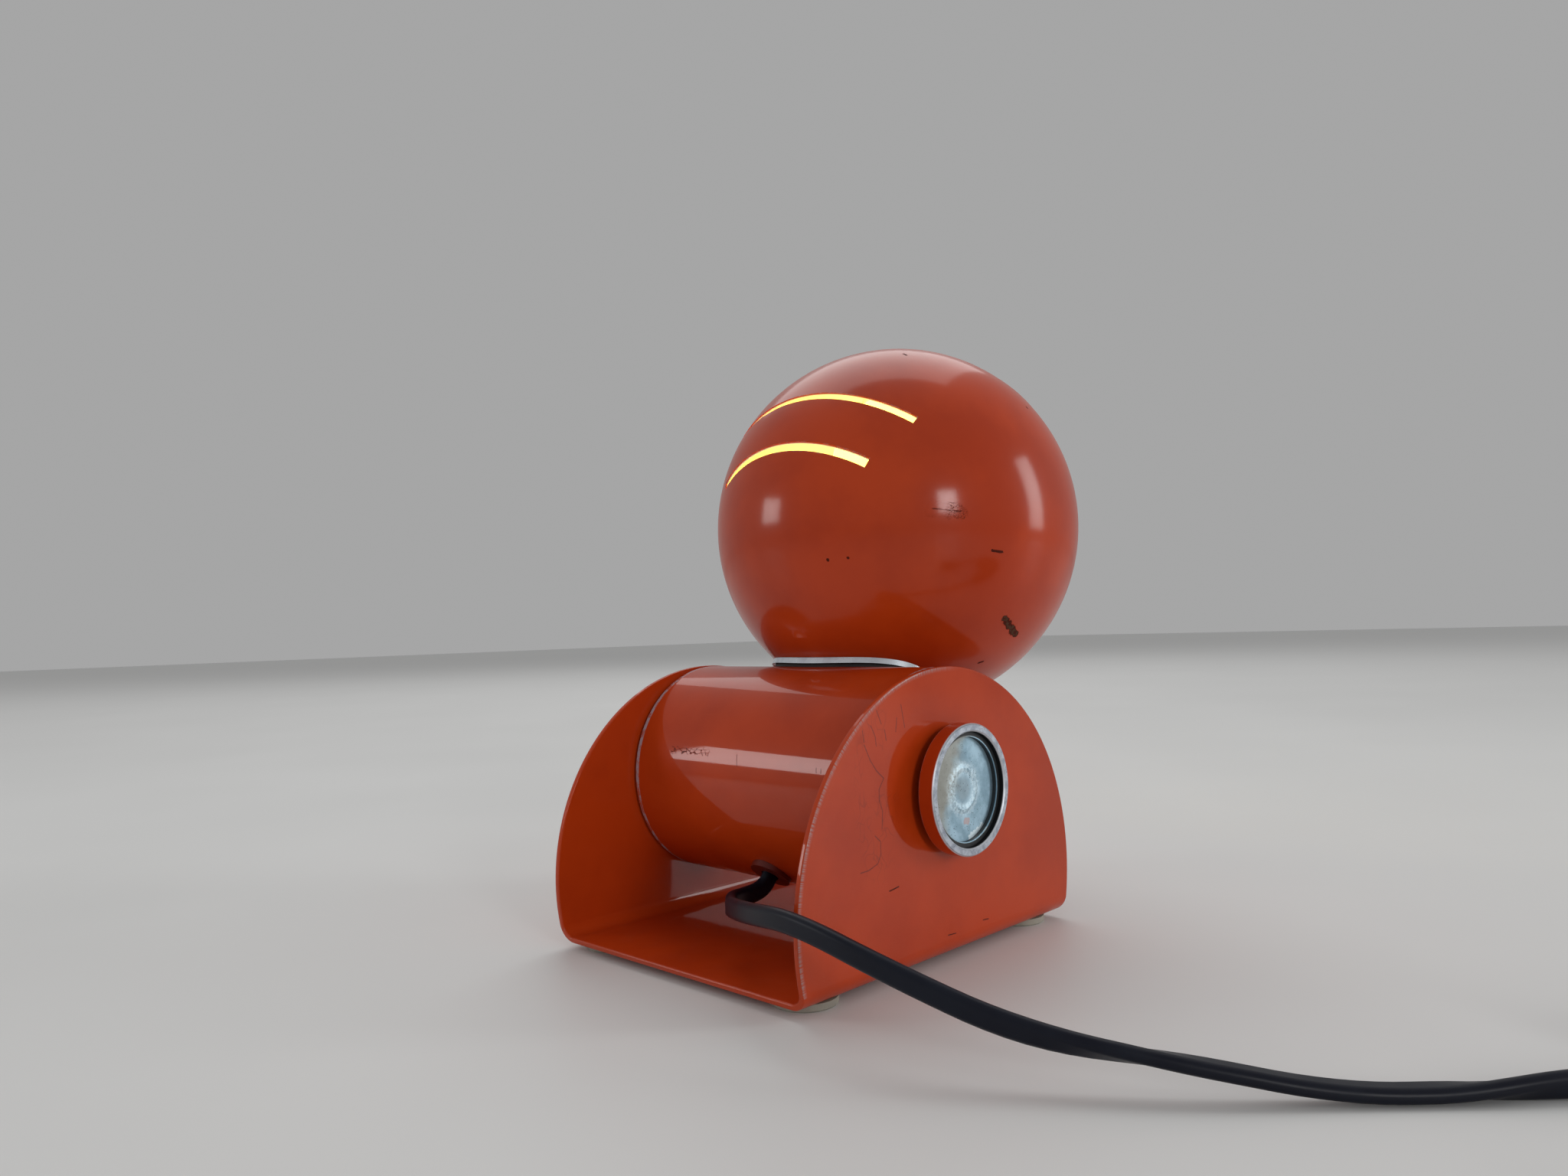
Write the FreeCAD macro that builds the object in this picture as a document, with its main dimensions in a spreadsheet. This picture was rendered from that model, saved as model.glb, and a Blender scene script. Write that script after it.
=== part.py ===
import FreeCAD, Part
import math
import os
import re

import Sketcher
from FreeCAD import Placement, Rotation, Vector

# A table lamp: a folded bracket, a barrel that tilts between its cheeks, and a ball-shaped head.
# Millimetres and degrees. +Z is up, the light shines towards -Y, and the clamp knob is on the -X side.
# The origin is under the middle of the base, on the surface that the lamp stands on.

SIZES = {
    # Bracket, one folded sheet with round cheeks
    "bracket_width": 99.6,
    "sheet_thick": 1.6,
    "cheek_radius": 61.9,
    "cheek_centre_height": 19.4,
    "bend_radius": 5.0,
    "rim_round": 0.45,
    "foot_height": 2.0,
    "foot_radius": 8.5,
    "foot_inset": 11.0,
    # Barrel between the cheeks
    "axis_height": 48.0,
    "barrel_radius": 33.06,
    "barrel_wall": 1.2,
    "side_gap": 1.1,
    "cap_thick": 1.3,
    "cap_spigot": 4.0,
    "cap_spigot_wall": 1.0,
    "friction_washer_radius": 12.0,
    # Clearances and broken edges
    "fit_gap": 0.05,
    "running_fit": 0.08,
    "turn_gap": 0.1,
    "hole_gap": 0.3,
    "edge_break": 0.4,
    # Pivot on the +X side
    "bolt_radius": 3.0,
    "bolt_head_radius": 7.0,
    "bolt_head_thick": 3.9,
    "bolt_washer_radius": 8.5,
    "bolt_washer_thick": 1.0,
    "bush_radius": 8.0,
    "bush_length": 2.6,
    "lock_nut_radius": 5.8,
    "lock_nut_thick": 3.8,
    "bolt_tail": 1.2,
    # Clamp knob on the -X side
    "knob_radius": 17.9,
    "knob_thick": 5.0,
    "knob_gap": 2.8,
    "knob_rim": 2.25,
    "knob_recess": 3.0,
    "knob_step_depth": 1.6,
    "knob_step_width": 1.4,
    "disc_thick": 1.0,
    "disc_ring_radius": 6.8,
    "disc_ring_width": 2.4,
    "disc_ring_rise": 0.25,
    "spacer_radius": 11.5,
    "spindle_radius": 3.0,
    "clamp_nut_radius": 8.0,
    "clamp_nut_length": 8.0,
    # Neck and saddle
    "neck_tilt": 29.2,
    "saddle_sink": 4.36,
    "gasket_thick": 1.24,
    "gasket_inset": 1.2,
    "collar_thick": 1.7,
    "collar_lip": 0.8,
    "nipple_radius": 5.0,
    "nipple_bore": 3.6,
    "nipple_nut_radius": 8.0,
    "nipple_nut_thick": 3.0,
    "nipple_tail": 1.0,
    "inner_washer_radius": 9.0,
    "inner_washer_thick": 1.0,
    # Head shell
    "head_radius": 60.0,
    "head_wall": 0.7,
    "opening_tilt": 54.0,
    "opening_radius": 40.5,
    "rim_bead": 1.3,
    "slot_width": 2.6,
    "low_slot_depth": 31.8,
    "low_slot_half": 36.0,
    "high_slot_depth": 14.3,
    "high_slot_half": 41.0,
    # Lampholder, along the neck
    "seat_radius": 10.0,
    "seat_rise": 2.5,
    "holder_radius": 13.5,
    "holder_wall": 1.6,
    "holder_floor": 2.4,
    "holder_cap_height": 12.0,
    "insulator_thick": 3.6,
    "skirt_height": 20.4,
    "skirt_bore": 8.2,
    "sleeve_wall": 0.5,
    "sleeve_height": 17.0,
    "contact_length": 8.0,
    "contact_width": 4.0,
    "contact_thick": 0.8,
    # Bulb, a small globe with a screw cap
    "bulb_cap_radius": 6.95,
    "bulb_cap_height": 17.0,
    "bulb_contact_radius": 2.4,
    "bulb_contact_height": 1.6,
    "bulb_radius": 27.5,
    "bulb_length": 85.5,
    "bulb_neck_radius": 11.0,
    "bulb_wall": 0.8,
    # Wiring inside the barrel
    "exit_angle": 38.0,
    "plate_offset": 9.0,
    "plate_thick": 1.2,
    "plate_half_width": 16.0,
    "block_half_width": 9.0,
    "block_front": 4.5,
    "block_gap": 5.0,
    "block_length": 20.0,
    "block_screw_radius": 2.0,
    "block_screw_head": 0.8,
    "clamp_inset": 6.08,
    "clamp_height": 6.0,
    "clamp_half_width": 8.0,
    "clamp_screw_radius": 2.6,
    "clamp_screw_head": 1.6,
    "clamp_screw_place": 5.2,
    "grommet_radius": 5.2,
    "grommet_lip_radius": 6.2,
    "grommet_lip": 1.25,
    "lead_radius": 1.0,
    "lead_place": 1.6,
    "lead_gap": 0.25,
    # Cord and what is on it
    "cord_radius": 2.7,
    "cord_stub": 2.8,
    "coil_inner_radius": 21.6,
    "coil_pitch": 6.7,
    "coil_turns": 3,
    "coil_lift": 3.7,
    "coil_layer": 6.4,
    "coil_lead": 30.0,
    "plug_tail": 46.0,
    "tie_width": 4.5,
    "tie_thick": 0.8,
    "tie_gap": 0.15,
    "tie_angle": 70.0,
    "switch_reach": 210.0,
    "switch_forward": 26.2,
    "switch_length": 62.0,
    "switch_half_width": 11.5,
    "switch_corner": 5.0,
    "switch_height": 14.0,
    "switch_split": 6.5,
    "switch_wall": 1.8,
    "rocker_half_length": 6.6,
    "rocker_half_width": 4.6,
    "rocker_gap": 0.4,
    "rocker_rise": 4.2,
    "rocker_drop": 2.0,
    "rocker_dip": 1.0,
    "rocker_lean": 10.0,
    "rocker_pivot_height": 10.4,
    "rocker_pin_radius": 1.0,
    "rocker_boss": 2.2,
    "switch_screw_radius": 2.4,
    "switch_screw_head": 0.9,
    "switch_screw_place": 22.0,
    "plug_half_width": 17.6,
    "plug_thick": 13.7,
    "plug_length": 36.0,
    "plug_shoulder": 9.0,
    "plug_waist": 24.0,
    "plug_waist_half": 9.0,
    "plug_tail_half": 6.0,
    "plug_round": 2.2,
    "relief_length": 22.0,
    "relief_radius": 5.2,
    "pin_radius": 2.0,
    "pin_length": 19.0,
    "pin_place": 9.5,
}

# Sizes that follow from the ones above
WORKED_OUT = {
    "cheek_out": "bracket_width / 2",
    "cheek_in": "cheek_out - sheet_thick",
    "base_top": "foot_height + sheet_thick",
    "base_half": "sqrt(cheek_radius ^ 2 - (cheek_centre_height - foot_height) ^ 2)",
    "barrel_half": "cheek_in - side_gap",
    "barrel_in": "barrel_radius - barrel_wall",
    "cap_in": "barrel_half - cap_thick",
    "spigot_out": "barrel_in - fit_gap",
    "knob_back": "cheek_out + knob_gap",
    "knob_front": "knob_back + knob_thick",
    "knob_bore": "knob_radius - knob_rim",
    "disc_seat": "knob_front - knob_recess - disc_thick",
    "disc_face": "disc_seat + disc_thick",
    "disc_out": "knob_bore - fit_gap",
    "bolt_seat": "cheek_out + bolt_washer_thick",
    "bush_in": "cap_in - bush_length",
    "nut_in": "bush_in - turn_gap - lock_nut_thick",
    "gasket_out": "barrel_radius + gasket_thick",
    "collar_out": "gasket_out + collar_thick",
    "neck_reach": "barrel_radius + head_radius - saddle_sink",
    "collar_meet": "(neck_reach ^ 2 + collar_out ^ 2 - head_radius ^ 2) / (2 * neck_reach)",
    "collar_long": "sqrt(head_radius ^ 2 - (neck_reach - collar_out) ^ 2) + collar_lip",
    "collar_wide": "sqrt(collar_out ^ 2 - collar_meet ^ 2) + collar_lip",
    "floor_in": "collar_out + head_wall",
    "head_in": "head_radius - head_wall",
    "opening_depth": "sqrt(head_radius ^ 2 - opening_radius ^ 2)",
    "washer_flat": "sqrt(barrel_in ^ 2 - inner_washer_radius ^ 2) - inner_washer_thick",
    "seat_top": "floor_in + seat_rise",
    "insulator_base": "seat_top + holder_cap_height - insulator_thick",
    "skirt_base": "seat_top + holder_cap_height",
    "sleeve_base": "skirt_base + contact_thick * 2",
    "bulb_base": "skirt_base + contact_thick",
    "bulb_cap_base": "bulb_base + bulb_contact_height",
    "bulb_cap_top": "bulb_cap_base + bulb_cap_height",
    "bulb_centre": "bulb_base + bulb_length - bulb_radius",
    "plate_half": "sqrt(barrel_in ^ 2 - (plate_offset + plate_thick) ^ 2) - turn_gap",
    "clamp_bottom": "plate_half - clamp_inset",
    "block_bottom": "clamp_bottom - clamp_height - block_gap",
    "block_top": "block_bottom - block_length",
    "grommet_out": "barrel_radius + grommet_lip",
    "grommet_in": "barrel_in - grommet_lip",
    "coil_outer_radius": "coil_inner_radius + coil_pitch * coil_turns",
}

doc = FreeCAD.newDocument("table_lamp")
sheet = doc.addObject("Spreadsheet::Sheet", "lamp")
cells = dict(SIZES)
cells.update({name: "=" + formula for name, formula in WORKED_OUT.items()})
for row, (name, content) in enumerate(cells.items(), start=1):
    sheet.set(f"A{row}", name)
    sheet.set(f"B{row}", str(content))
    sheet.setAlias(f"B{row}", name)
sums = doc.addObject("Spreadsheet::Sheet", "sums")
doc.recompute()

nodes = {}


def bound(text):
    """A size in the sheet's words, as an expression that other objects can read."""
    return re.sub(r"[a-z][a-z_]*", r"lamp.\g<0>", text)


def number(text):
    """The value of a size in the sheet's words, worked out on a sheet of its own."""
    sums.set("A1", "=" + bound(text))
    sums.recompute()
    return float(sums.get("A1"))


def keep(piece):
    """Note a finished sub-part: its label names its file."""
    nodes[piece.Label] = piece
    return piece


# Frames that the pieces are built along, each with its own Z
ALONG_X, ALONG_Y, ALONG_Z = Vector(1, 0, 0), Vector(0, 1, 0), Vector(0, 0, 1)
barrel_centre = Vector(0, 0, number("axis_height"))
neck = Placement(barrel_centre, Rotation(ALONG_X, number("neck_tilt")))
head_centre = neck.multVec(Vector(0, 0, number("neck_reach")))
opening = Placement(head_centre, Rotation(ALONG_X, number("opening_tilt")))
cord_exit = Placement(barrel_centre, Rotation(ALONG_X, number("exit_angle - 180")))
to_left = Placement(barrel_centre, Rotation(ALONG_Y, -90))
to_right = Placement(barrel_centre, Rotation(ALONG_Y, 90))
floor = Placement()


def moved(frame, x="0", y="0", z="0"):
    """The same frame, moved along its own axes."""
    return frame.multiply(Placement(Vector(number(x), number(y), number(z)), Rotation()))


def cylinder(label, radius, height, frame, start="0"):
    """A round bar along the frame's Z, from start."""
    bar = doc.addObject("Part::Cylinder", label)
    bar.setExpression("Radius", bound(radius))
    bar.setExpression("Height", bound(height))
    bar.Placement = moved(frame, z=start)
    return bar


def cross_bar(label, radius):
    """A round bar on the barrel's axis, longer than the head is wide."""
    return cylinder(label, radius, "head_radius * 4", to_right, "-head_radius * 2")


def oval_bar(label, long, wide, height):
    """An oval bar along the neck, longest across it."""
    rim = doc.addObject("Part::Ellipse", f"{label}_outline")
    rim.setExpression("MajorRadius", bound(long))
    rim.setExpression("MinorRadius", bound(wide))
    rim.Placement = neck
    bar = doc.addObject("Part::Extrusion", label)
    bar.Base = rim
    bar.DirMode = "Custom"
    bar.Dir = neck.Rotation.multVec(ALONG_Z)
    bar.Solid = True
    bar.setExpression("LengthFwd", bound(height))
    return bar


def ball(label, radius, frame):
    """A ball at the frame's origin."""
    sphere = doc.addObject("Part::Sphere", label)
    sphere.setExpression("Radius", bound(radius))
    sphere.Placement = frame
    return sphere


def box(label, low, high, frame):
    """A block between two corners of the frame."""
    block = doc.addObject("Part::Box", label)
    for side, start, end in zip(("Length", "Width", "Height"), low, high):
        block.setExpression(side, bound(f"({end}) - ({start})"))
    block.Placement = moved(frame, *low)
    return block


def cut(label, base, *tools):
    """The base without the tools, one after the other."""
    for step, tool in enumerate(tools, start=1):
        last = step == len(tools)
        piece = doc.addObject("Part::Cut", label if last else f"{label}_cut_{step}")
        piece.Base, piece.Tool = base, tool
        base = piece
    return base


def fuse(label, *shapes):
    """Shapes joined into one."""
    piece = doc.addObject("Part::MultiFuse", label)
    piece.Shapes = list(shapes)
    return piece


def common(label, first, second):
    """What two shapes share."""
    piece = doc.addObject("Part::Common", label)
    piece.Base, piece.Tool = first, second
    return piece


def group(label, *shapes):
    """Separate solids of one kind in one node."""
    piece = doc.addObject("Part::Compound", label)
    piece.Links = list(shapes)
    return piece


def rounded(label, base, radius, picker):
    """The base with some of its edges rounded off; the picker makes a test of an edge from the shape."""
    doc.recompute()
    piece = doc.addObject("Part::Fillet", label)
    piece.Base = base
    size = number(radius)
    picked = picker(base.Shape)
    chosen = [k for k, edge in enumerate(base.Shape.Edges, start=1) if picked(edge)]
    piece.Edges = [(k, size, size) for k in chosen]
    return piece


def own_plane(body, role):
    """One of the body's own origin planes."""
    return next(f for f in body.Origin.OriginFeatures if f.Role == role)


def outline(body, role, corners):
    """A closed outline on one of the body's planes, each corner held by two sizes."""
    sketch = body.newObject("Sketcher::SketchObject", body.Label + "_outline")
    sketch.AttachmentSupport = [(own_plane(body, role), "")]
    sketch.MapMode = "FlatFace"
    places = [Vector(number(x), number(y), 0) for x, y in corners]
    count = len(corners)
    for k in range(count):
        sketch.addGeometry(Part.LineSegment(places[k], places[(k + 1) % count]))
    for k in range(count):
        sketch.addConstraint(Sketcher.Constraint("Coincident", k, 2, (k + 1) % count, 1))
    for k, (x, y) in enumerate(corners):
        for kind, text, place in (("DistanceX", x, places[k].x), ("DistanceY", y, places[k].y)):
            held = sketch.addConstraint(Sketcher.Constraint(kind, k, 1, place))
            sketch.setExpression(f"Constraints[{held}]", bound(text))
    return sketch


def turned(label, frame, corners):
    """A turned piece: an outline of radii and heights, swung round the frame's Z."""
    body = doc.addObject("PartDesign::Body", label)
    sketch = outline(body, "XZ_Plane", corners)
    swing = body.newObject("PartDesign::Revolution", label + "_swing")
    swing.Profile = sketch
    swing.ReferenceAxis = (sketch, ["V_Axis"])
    swing.Angle = 360
    sketch.Visibility = False
    body.Placement = frame
    return body


def padded(label, frame, corners, thick, start="0"):
    """A plate: an outline in plan, raised by its thickness."""
    body = doc.addObject("PartDesign::Body", label)
    sketch = outline(body, "XY_Plane", corners)
    pad = body.newObject("PartDesign::Pad", label + "_pad")
    pad.Profile = sketch
    pad.setExpression("Length", bound(thick))
    body.Placement = moved(frame, z=start)
    return body


def ring(label, frame, inner, outer, low, high):
    """A plain washer or sleeve."""
    return turned(label, frame, [(inner, low), (outer, low), (outer, high), (inner, high)])


# Bracket: a folded U, cut round by one cylinder across both cheeks
def make_bracket():
    def bottom_fold(shape):
        level = shape.BoundBox.ZMin

        def is_fold(edge):
            low = abs(edge.BoundBox.ZMax - level) < 1e-6
            return low and edge.BoundBox.YLength > edge.BoundBox.XLength

        return is_fold

    def outer_rim(shape):
        radius = number("cheek_radius")
        rims = [
            face
            for face in shape.Faces
            if isinstance(face.Surface, Part.Cylinder) and abs(face.Surface.Radius - radius) < 1e-6
        ]

        def on_rim(edge):
            return sum(any(edge.isSame(other) for other in face.Edges) for face in rims) == 1

        return on_rim

    reach = "cheek_radius + cheek_centre_height"
    outside = box(
        "bracket_outside",
        ("-cheek_out", "-cheek_radius", "foot_height"),
        ("cheek_out", "cheek_radius", reach),
        floor,
    )
    inside = box(
        "bracket_inside",
        ("-cheek_in", "-cheek_radius * 2", "base_top"),
        ("cheek_in", "cheek_radius * 2", f"({reach}) * 2"),
        floor,
    )
    fold_out = rounded("bracket_fold_out", outside, "bend_radius", bottom_fold)
    fold_in = rounded("bracket_fold_in", inside, "bend_radius - sheet_thick", bottom_fold)
    folded = cut("bracket_folded", fold_out, fold_in)
    cheek_frame = Placement(Vector(0, 0, number("cheek_centre_height")), Rotation(ALONG_Y, 90))
    round_cut = cylinder(
        "bracket_round", "cheek_radius", "bracket_width * 2", cheek_frame, "-bracket_width"
    )
    blank = common("bracket_blank", folded, round_cut)
    smooth = rounded("bracket_smooth", blank, "rim_round", outer_rim)
    spindle_hole = cylinder(
        "bracket_spindle_hole", "spindle_radius + hole_gap", "sheet_thick * 3", to_left, "cheek_in - sheet_thick"
    )
    bolt_hole = cylinder(
        "bracket_bolt_hole", "bolt_radius + fit_gap", "sheet_thick * 3", to_right, "cheek_in - sheet_thick"
    )
    keep(cut("bracket", smooth, spindle_hole, bolt_hole))


def make_feet():
    for side, x in (("left", "-(cheek_out - foot_inset)"), ("right", "cheek_out - foot_inset")):
        for end, y in (("front", "-(base_half - foot_inset)"), ("back", "base_half - foot_inset")):
            keep(
                turned(
                    f"foot_pad_{end}_{side}",
                    moved(floor, x, y),
                    [
                        ("0", "0"),
                        ("foot_radius - edge_break", "0"),
                        ("foot_radius", "edge_break"),
                        ("foot_radius", "foot_height"),
                        ("0", "foot_height"),
                    ],
                )
            )


# Barrel, its caps and what it turns on
def make_barrel():
    outside = cylinder("barrel_outside", "barrel_radius", "cap_in * 2", to_right, "-cap_in")
    bore = cross_bar("barrel_bore", "barrel_in")
    neck_hole = cylinder("barrel_neck_hole", "nipple_radius + fit_gap", "barrel_radius * 2", neck)
    cord_hole = cylinder("barrel_cord_hole", "grommet_radius + fit_gap", "barrel_radius * 2", cord_exit)
    keep(cut("barrel_tube", outside, bore, neck_hole, cord_hole))
    for side, frame in (("left", to_left), ("right", to_right)):
        hole = "spindle_radius + running_fit" if side == "left" else "bolt_radius + running_fit"
        keep(
            turned(
                f"barrel_cap_{side}",
                frame,
                [
                    (hole, "cap_in"),
                    ("spigot_out - cap_spigot_wall", "cap_in"),
                    ("spigot_out - cap_spigot_wall", "cap_in - cap_spigot"),
                    ("spigot_out", "cap_in - cap_spigot"),
                    ("spigot_out", "cap_in"),
                    ("barrel_radius", "cap_in"),
                    ("barrel_radius", "barrel_half - edge_break"),
                    ("barrel_radius - edge_break", "barrel_half"),
                    (hole, "barrel_half"),
                ],
            )
        )
        keep(
            ring(
                f"friction_washer_{side}",
                frame,
                "spindle_radius + hole_gap" if side == "left" else "bolt_radius + fit_gap",
                "friction_washer_radius",
                "barrel_half + turn_gap",
                "cheek_in",
            )
        )
    keep(
        ring(
            "clamp_nut",
            to_left,
            "spindle_radius + running_fit",
            "clamp_nut_radius",
            "cap_in - clamp_nut_length",
            "cap_in",
        )
    )
    keep(ring("pivot_bush", to_right, "bolt_radius + running_fit", "bush_radius", "bush_in", "cap_in"))


def make_pivot():
    keep(
        ring(
            "pivot_washer",
            to_right,
            "bolt_radius + fit_gap",
            "bolt_washer_radius",
            "cheek_out",
            "bolt_seat",
        )
    )
    keep(
        turned(
            "pivot_bolt",
            to_right,
            [
                ("0", "nut_in - bolt_tail"),
                ("bolt_radius - edge_break", "nut_in - bolt_tail"),
                ("bolt_radius", "nut_in - bolt_tail + edge_break"),
                ("bolt_radius", "bolt_seat"),
                ("bolt_head_radius", "bolt_seat"),
                ("bolt_head_radius", "bolt_seat + bolt_head_thick * 0.32"),
                ("bolt_head_radius * 0.82", "bolt_seat + bolt_head_thick * 0.74"),
                ("bolt_head_radius * 0.46", "bolt_seat + bolt_head_thick * 0.95"),
                ("0", "bolt_seat + bolt_head_thick"),
            ],
        )
    )
    nut = doc.addObject("Part::Prism", "lock_nut_blank")
    nut.Polygon = 6
    nut.setExpression("Circumradius", bound("lock_nut_radius"))
    nut.setExpression("Height", bound("lock_nut_thick"))
    nut.Placement = moved(to_right, z="nut_in")
    keep(
        cut(
            "pivot_lock_nut",
            nut,
            cylinder("lock_nut_bore", "bolt_radius + fit_gap", "barrel_half", to_right, "nut_in - bolt_tail"),
        )
    )


# Clamp knob: a painted cup with a bright disc set in it
def make_knob():
    keep(
        turned(
            "knob_cup",
            to_left,
            [
                ("spindle_radius + fit_gap", "knob_back"),
                ("knob_radius - edge_break", "knob_back"),
                ("knob_radius", "knob_back + edge_break"),
                ("knob_radius", "knob_front - edge_break"),
                ("knob_radius - edge_break", "knob_front"),
                ("knob_bore + edge_break", "knob_front"),
                ("knob_bore", "knob_front - edge_break"),
                ("knob_bore", "disc_seat"),
                ("spindle_radius + fit_gap", "disc_seat"),
            ],
        )
    )
    keep(
        turned(
            "knob_disc",
            to_left,
            [
                ("0", "disc_seat"),
                ("disc_out", "disc_seat"),
                ("disc_out", "knob_front - knob_step_depth"),
                ("disc_out - knob_step_width", "knob_front - knob_step_depth"),
                ("disc_out - knob_step_width", "disc_face"),
                ("disc_ring_radius", "disc_face"),
                ("disc_ring_radius - disc_ring_width / 2", "disc_face + disc_ring_rise"),
                ("disc_ring_radius - disc_ring_width", "disc_face"),
                ("0", "disc_face"),
            ],
        )
    )
    keep(
        ring(
            "knob_spacer",
            to_left,
            "spindle_radius + fit_gap",
            "spacer_radius",
            "cheek_out + turn_gap",
            "knob_back",
        )
    )
    keep(
        turned(
            "knob_spindle",
            to_left,
            [
                ("0", "cap_in - clamp_nut_length"),
                ("spindle_radius - edge_break", "cap_in - clamp_nut_length"),
                ("spindle_radius", "cap_in - clamp_nut_length + edge_break"),
                ("spindle_radius", "disc_seat"),
                ("0", "disc_seat"),
            ],
        )
    )


# Neck: a hollow threaded nipple that clamps the head to the barrel through a curved stack
def make_neck():
    keep(
        ring(
            "neck_nipple",
            neck,
            "nipple_bore",
            "nipple_radius",
            "washer_flat - nipple_nut_thick - nipple_tail",
            "seat_top + holder_floor",
        )
    )
    nut = doc.addObject("Part::Prism", "nipple_nut_blank")
    nut.Polygon = 6
    nut.setExpression("Circumradius", bound("nipple_nut_radius"))
    nut.setExpression("Height", bound("nipple_nut_thick"))
    nut.Placement = moved(neck, z="washer_flat - nipple_nut_thick")
    keep(
        cut(
            "nipple_nut",
            nut,
            cylinder("nipple_nut_bore", "nipple_radius + fit_gap", "barrel_radius * 2", neck),
        )
    )
    inner_blank = cylinder("inner_washer_blank", "inner_washer_radius", "barrel_radius", neck, "washer_flat")
    inner_curve = common("inner_washer_curve", inner_blank, cross_bar("inner_washer_bar", "barrel_in - fit_gap"))
    keep(
        cut(
            "inner_saddle_washer",
            inner_curve,
            cylinder("inner_washer_hole", "nipple_radius + fit_gap", "barrel_radius * 2", neck),
        )
    )
    gasket_blank = oval_bar("gasket_blank", "collar_long - gasket_inset", "collar_wide - gasket_inset", "neck_reach")
    gasket_curve = common("gasket_curve", gasket_blank, cross_bar("gasket_bar", "gasket_out - fit_gap"))
    keep(
        cut(
            "saddle_gasket",
            gasket_curve,
            cross_bar("gasket_under", "barrel_radius + fit_gap"),
            cylinder("gasket_hole", "nipple_radius + fit_gap", "neck_reach", neck),
        )
    )
    collar_curve = common(
        "collar_curve",
        oval_bar("collar_blank", "collar_long", "collar_wide", "neck_reach"),
        cross_bar("collar_bar", "collar_out - fit_gap"),
    )
    keep(
        cut(
            "saddle_collar",
            collar_curve,
            cross_bar("collar_under", "gasket_out"),
            cylinder("collar_hole", "nipple_radius + fit_gap", "neck_reach", neck),
        )
    )


# Head: a thin ball with a saddle floor, a round opening with a rolled rim, and two slots
def make_head():
    outside = cut(
        "shell_outside", ball("shell_ball", "head_radius", opening), cross_bar("shell_under", "collar_out")
    )
    inside = cut(
        "shell_inside", ball("shell_hollow", "head_in", opening), cross_bar("shell_floor", "floor_in")
    )
    mouth = cylinder("shell_mouth", "head_radius * 2", "head_radius * 2", opening, "opening_depth")
    nipple_hole = cylinder("shell_nipple_hole", "nipple_radius + fit_gap", "neck_reach", neck)
    slots = []
    for place in ("low", "high"):
        slot = cylinder(f"shell_slot_{place}", "head_radius * 2", "slot_width", opening)
        slot.setExpression("Angle", bound(f"{place}_slot_half * 2"))
        turn = Rotation(ALONG_Z, number(f"90 - {place}_slot_half"))
        slot.Placement = moved(opening, z=f"-{place}_slot_depth - slot_width / 2").multiply(
            Placement(Vector(), turn)
        )
        slots.append(slot)
    skin = cut("shell_skin", outside, inside, mouth, nipple_hole, *slots)
    bead = doc.addObject("Part::Torus", "shell_bead")
    bead.setExpression("Radius1", bound("opening_radius - head_wall / 2"))
    bead.setExpression("Radius2", bound("rim_bead"))
    bead.Placement = moved(opening, z="opening_depth")
    keep(fuse("head_shell", skin, bead))


def make_lampholder():
    seat_blank = cylinder("seat_blank", "seat_radius", "neck_reach", neck)
    seat_top = cylinder("seat_above", "seat_radius * 2", "neck_reach", neck, "seat_top")
    keep(
        cut(
            "holder_seat",
            seat_blank,
            cross_bar("seat_under", "floor_in + fit_gap"),
            seat_top,
            cylinder("seat_hole", "nipple_radius + fit_gap", "neck_reach", neck),
        )
    )
    keep(
        turned(
            "lampholder_cap",
            neck,
            [
                ("nipple_radius + fit_gap", "seat_top"),
                ("seat_radius", "seat_top"),
                ("holder_radius", "seat_top + holder_floor"),
                ("holder_radius", "skirt_base"),
                ("holder_radius - holder_wall", "skirt_base"),
                ("holder_radius - holder_wall", "seat_top + holder_floor"),
                ("nipple_radius + fit_gap", "seat_top + holder_floor"),
            ],
        )
    )
    keep(
        turned(
            "lampholder_insulator",
            neck,
            [
                ("0", "insulator_base"),
                ("holder_radius - holder_wall - fit_gap", "insulator_base"),
                ("holder_radius - holder_wall - fit_gap", "skirt_base"),
                ("0", "skirt_base"),
            ],
        )
    )
    keep(
        box(
            "lampholder_contact",
            ("-contact_width / 2", "-contact_length / 2", "skirt_base"),
            ("contact_width / 2", "contact_length / 2", "skirt_base + contact_thick"),
            neck,
        )
    )
    keep(
        turned(
            "lampholder_skirt",
            neck,
            [
                ("skirt_bore", "skirt_base"),
                ("holder_radius", "skirt_base"),
                ("holder_radius", "skirt_base + skirt_height - edge_break"),
                ("holder_radius - edge_break", "skirt_base + skirt_height"),
                ("skirt_bore", "skirt_base + skirt_height"),
            ],
        )
    )
    keep(
        ring(
            "lampholder_thread",
            neck,
            "skirt_bore - fit_gap - sleeve_wall",
            "skirt_bore - fit_gap",
            "sleeve_base",
            "sleeve_base + sleeve_height",
        )
    )


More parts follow.
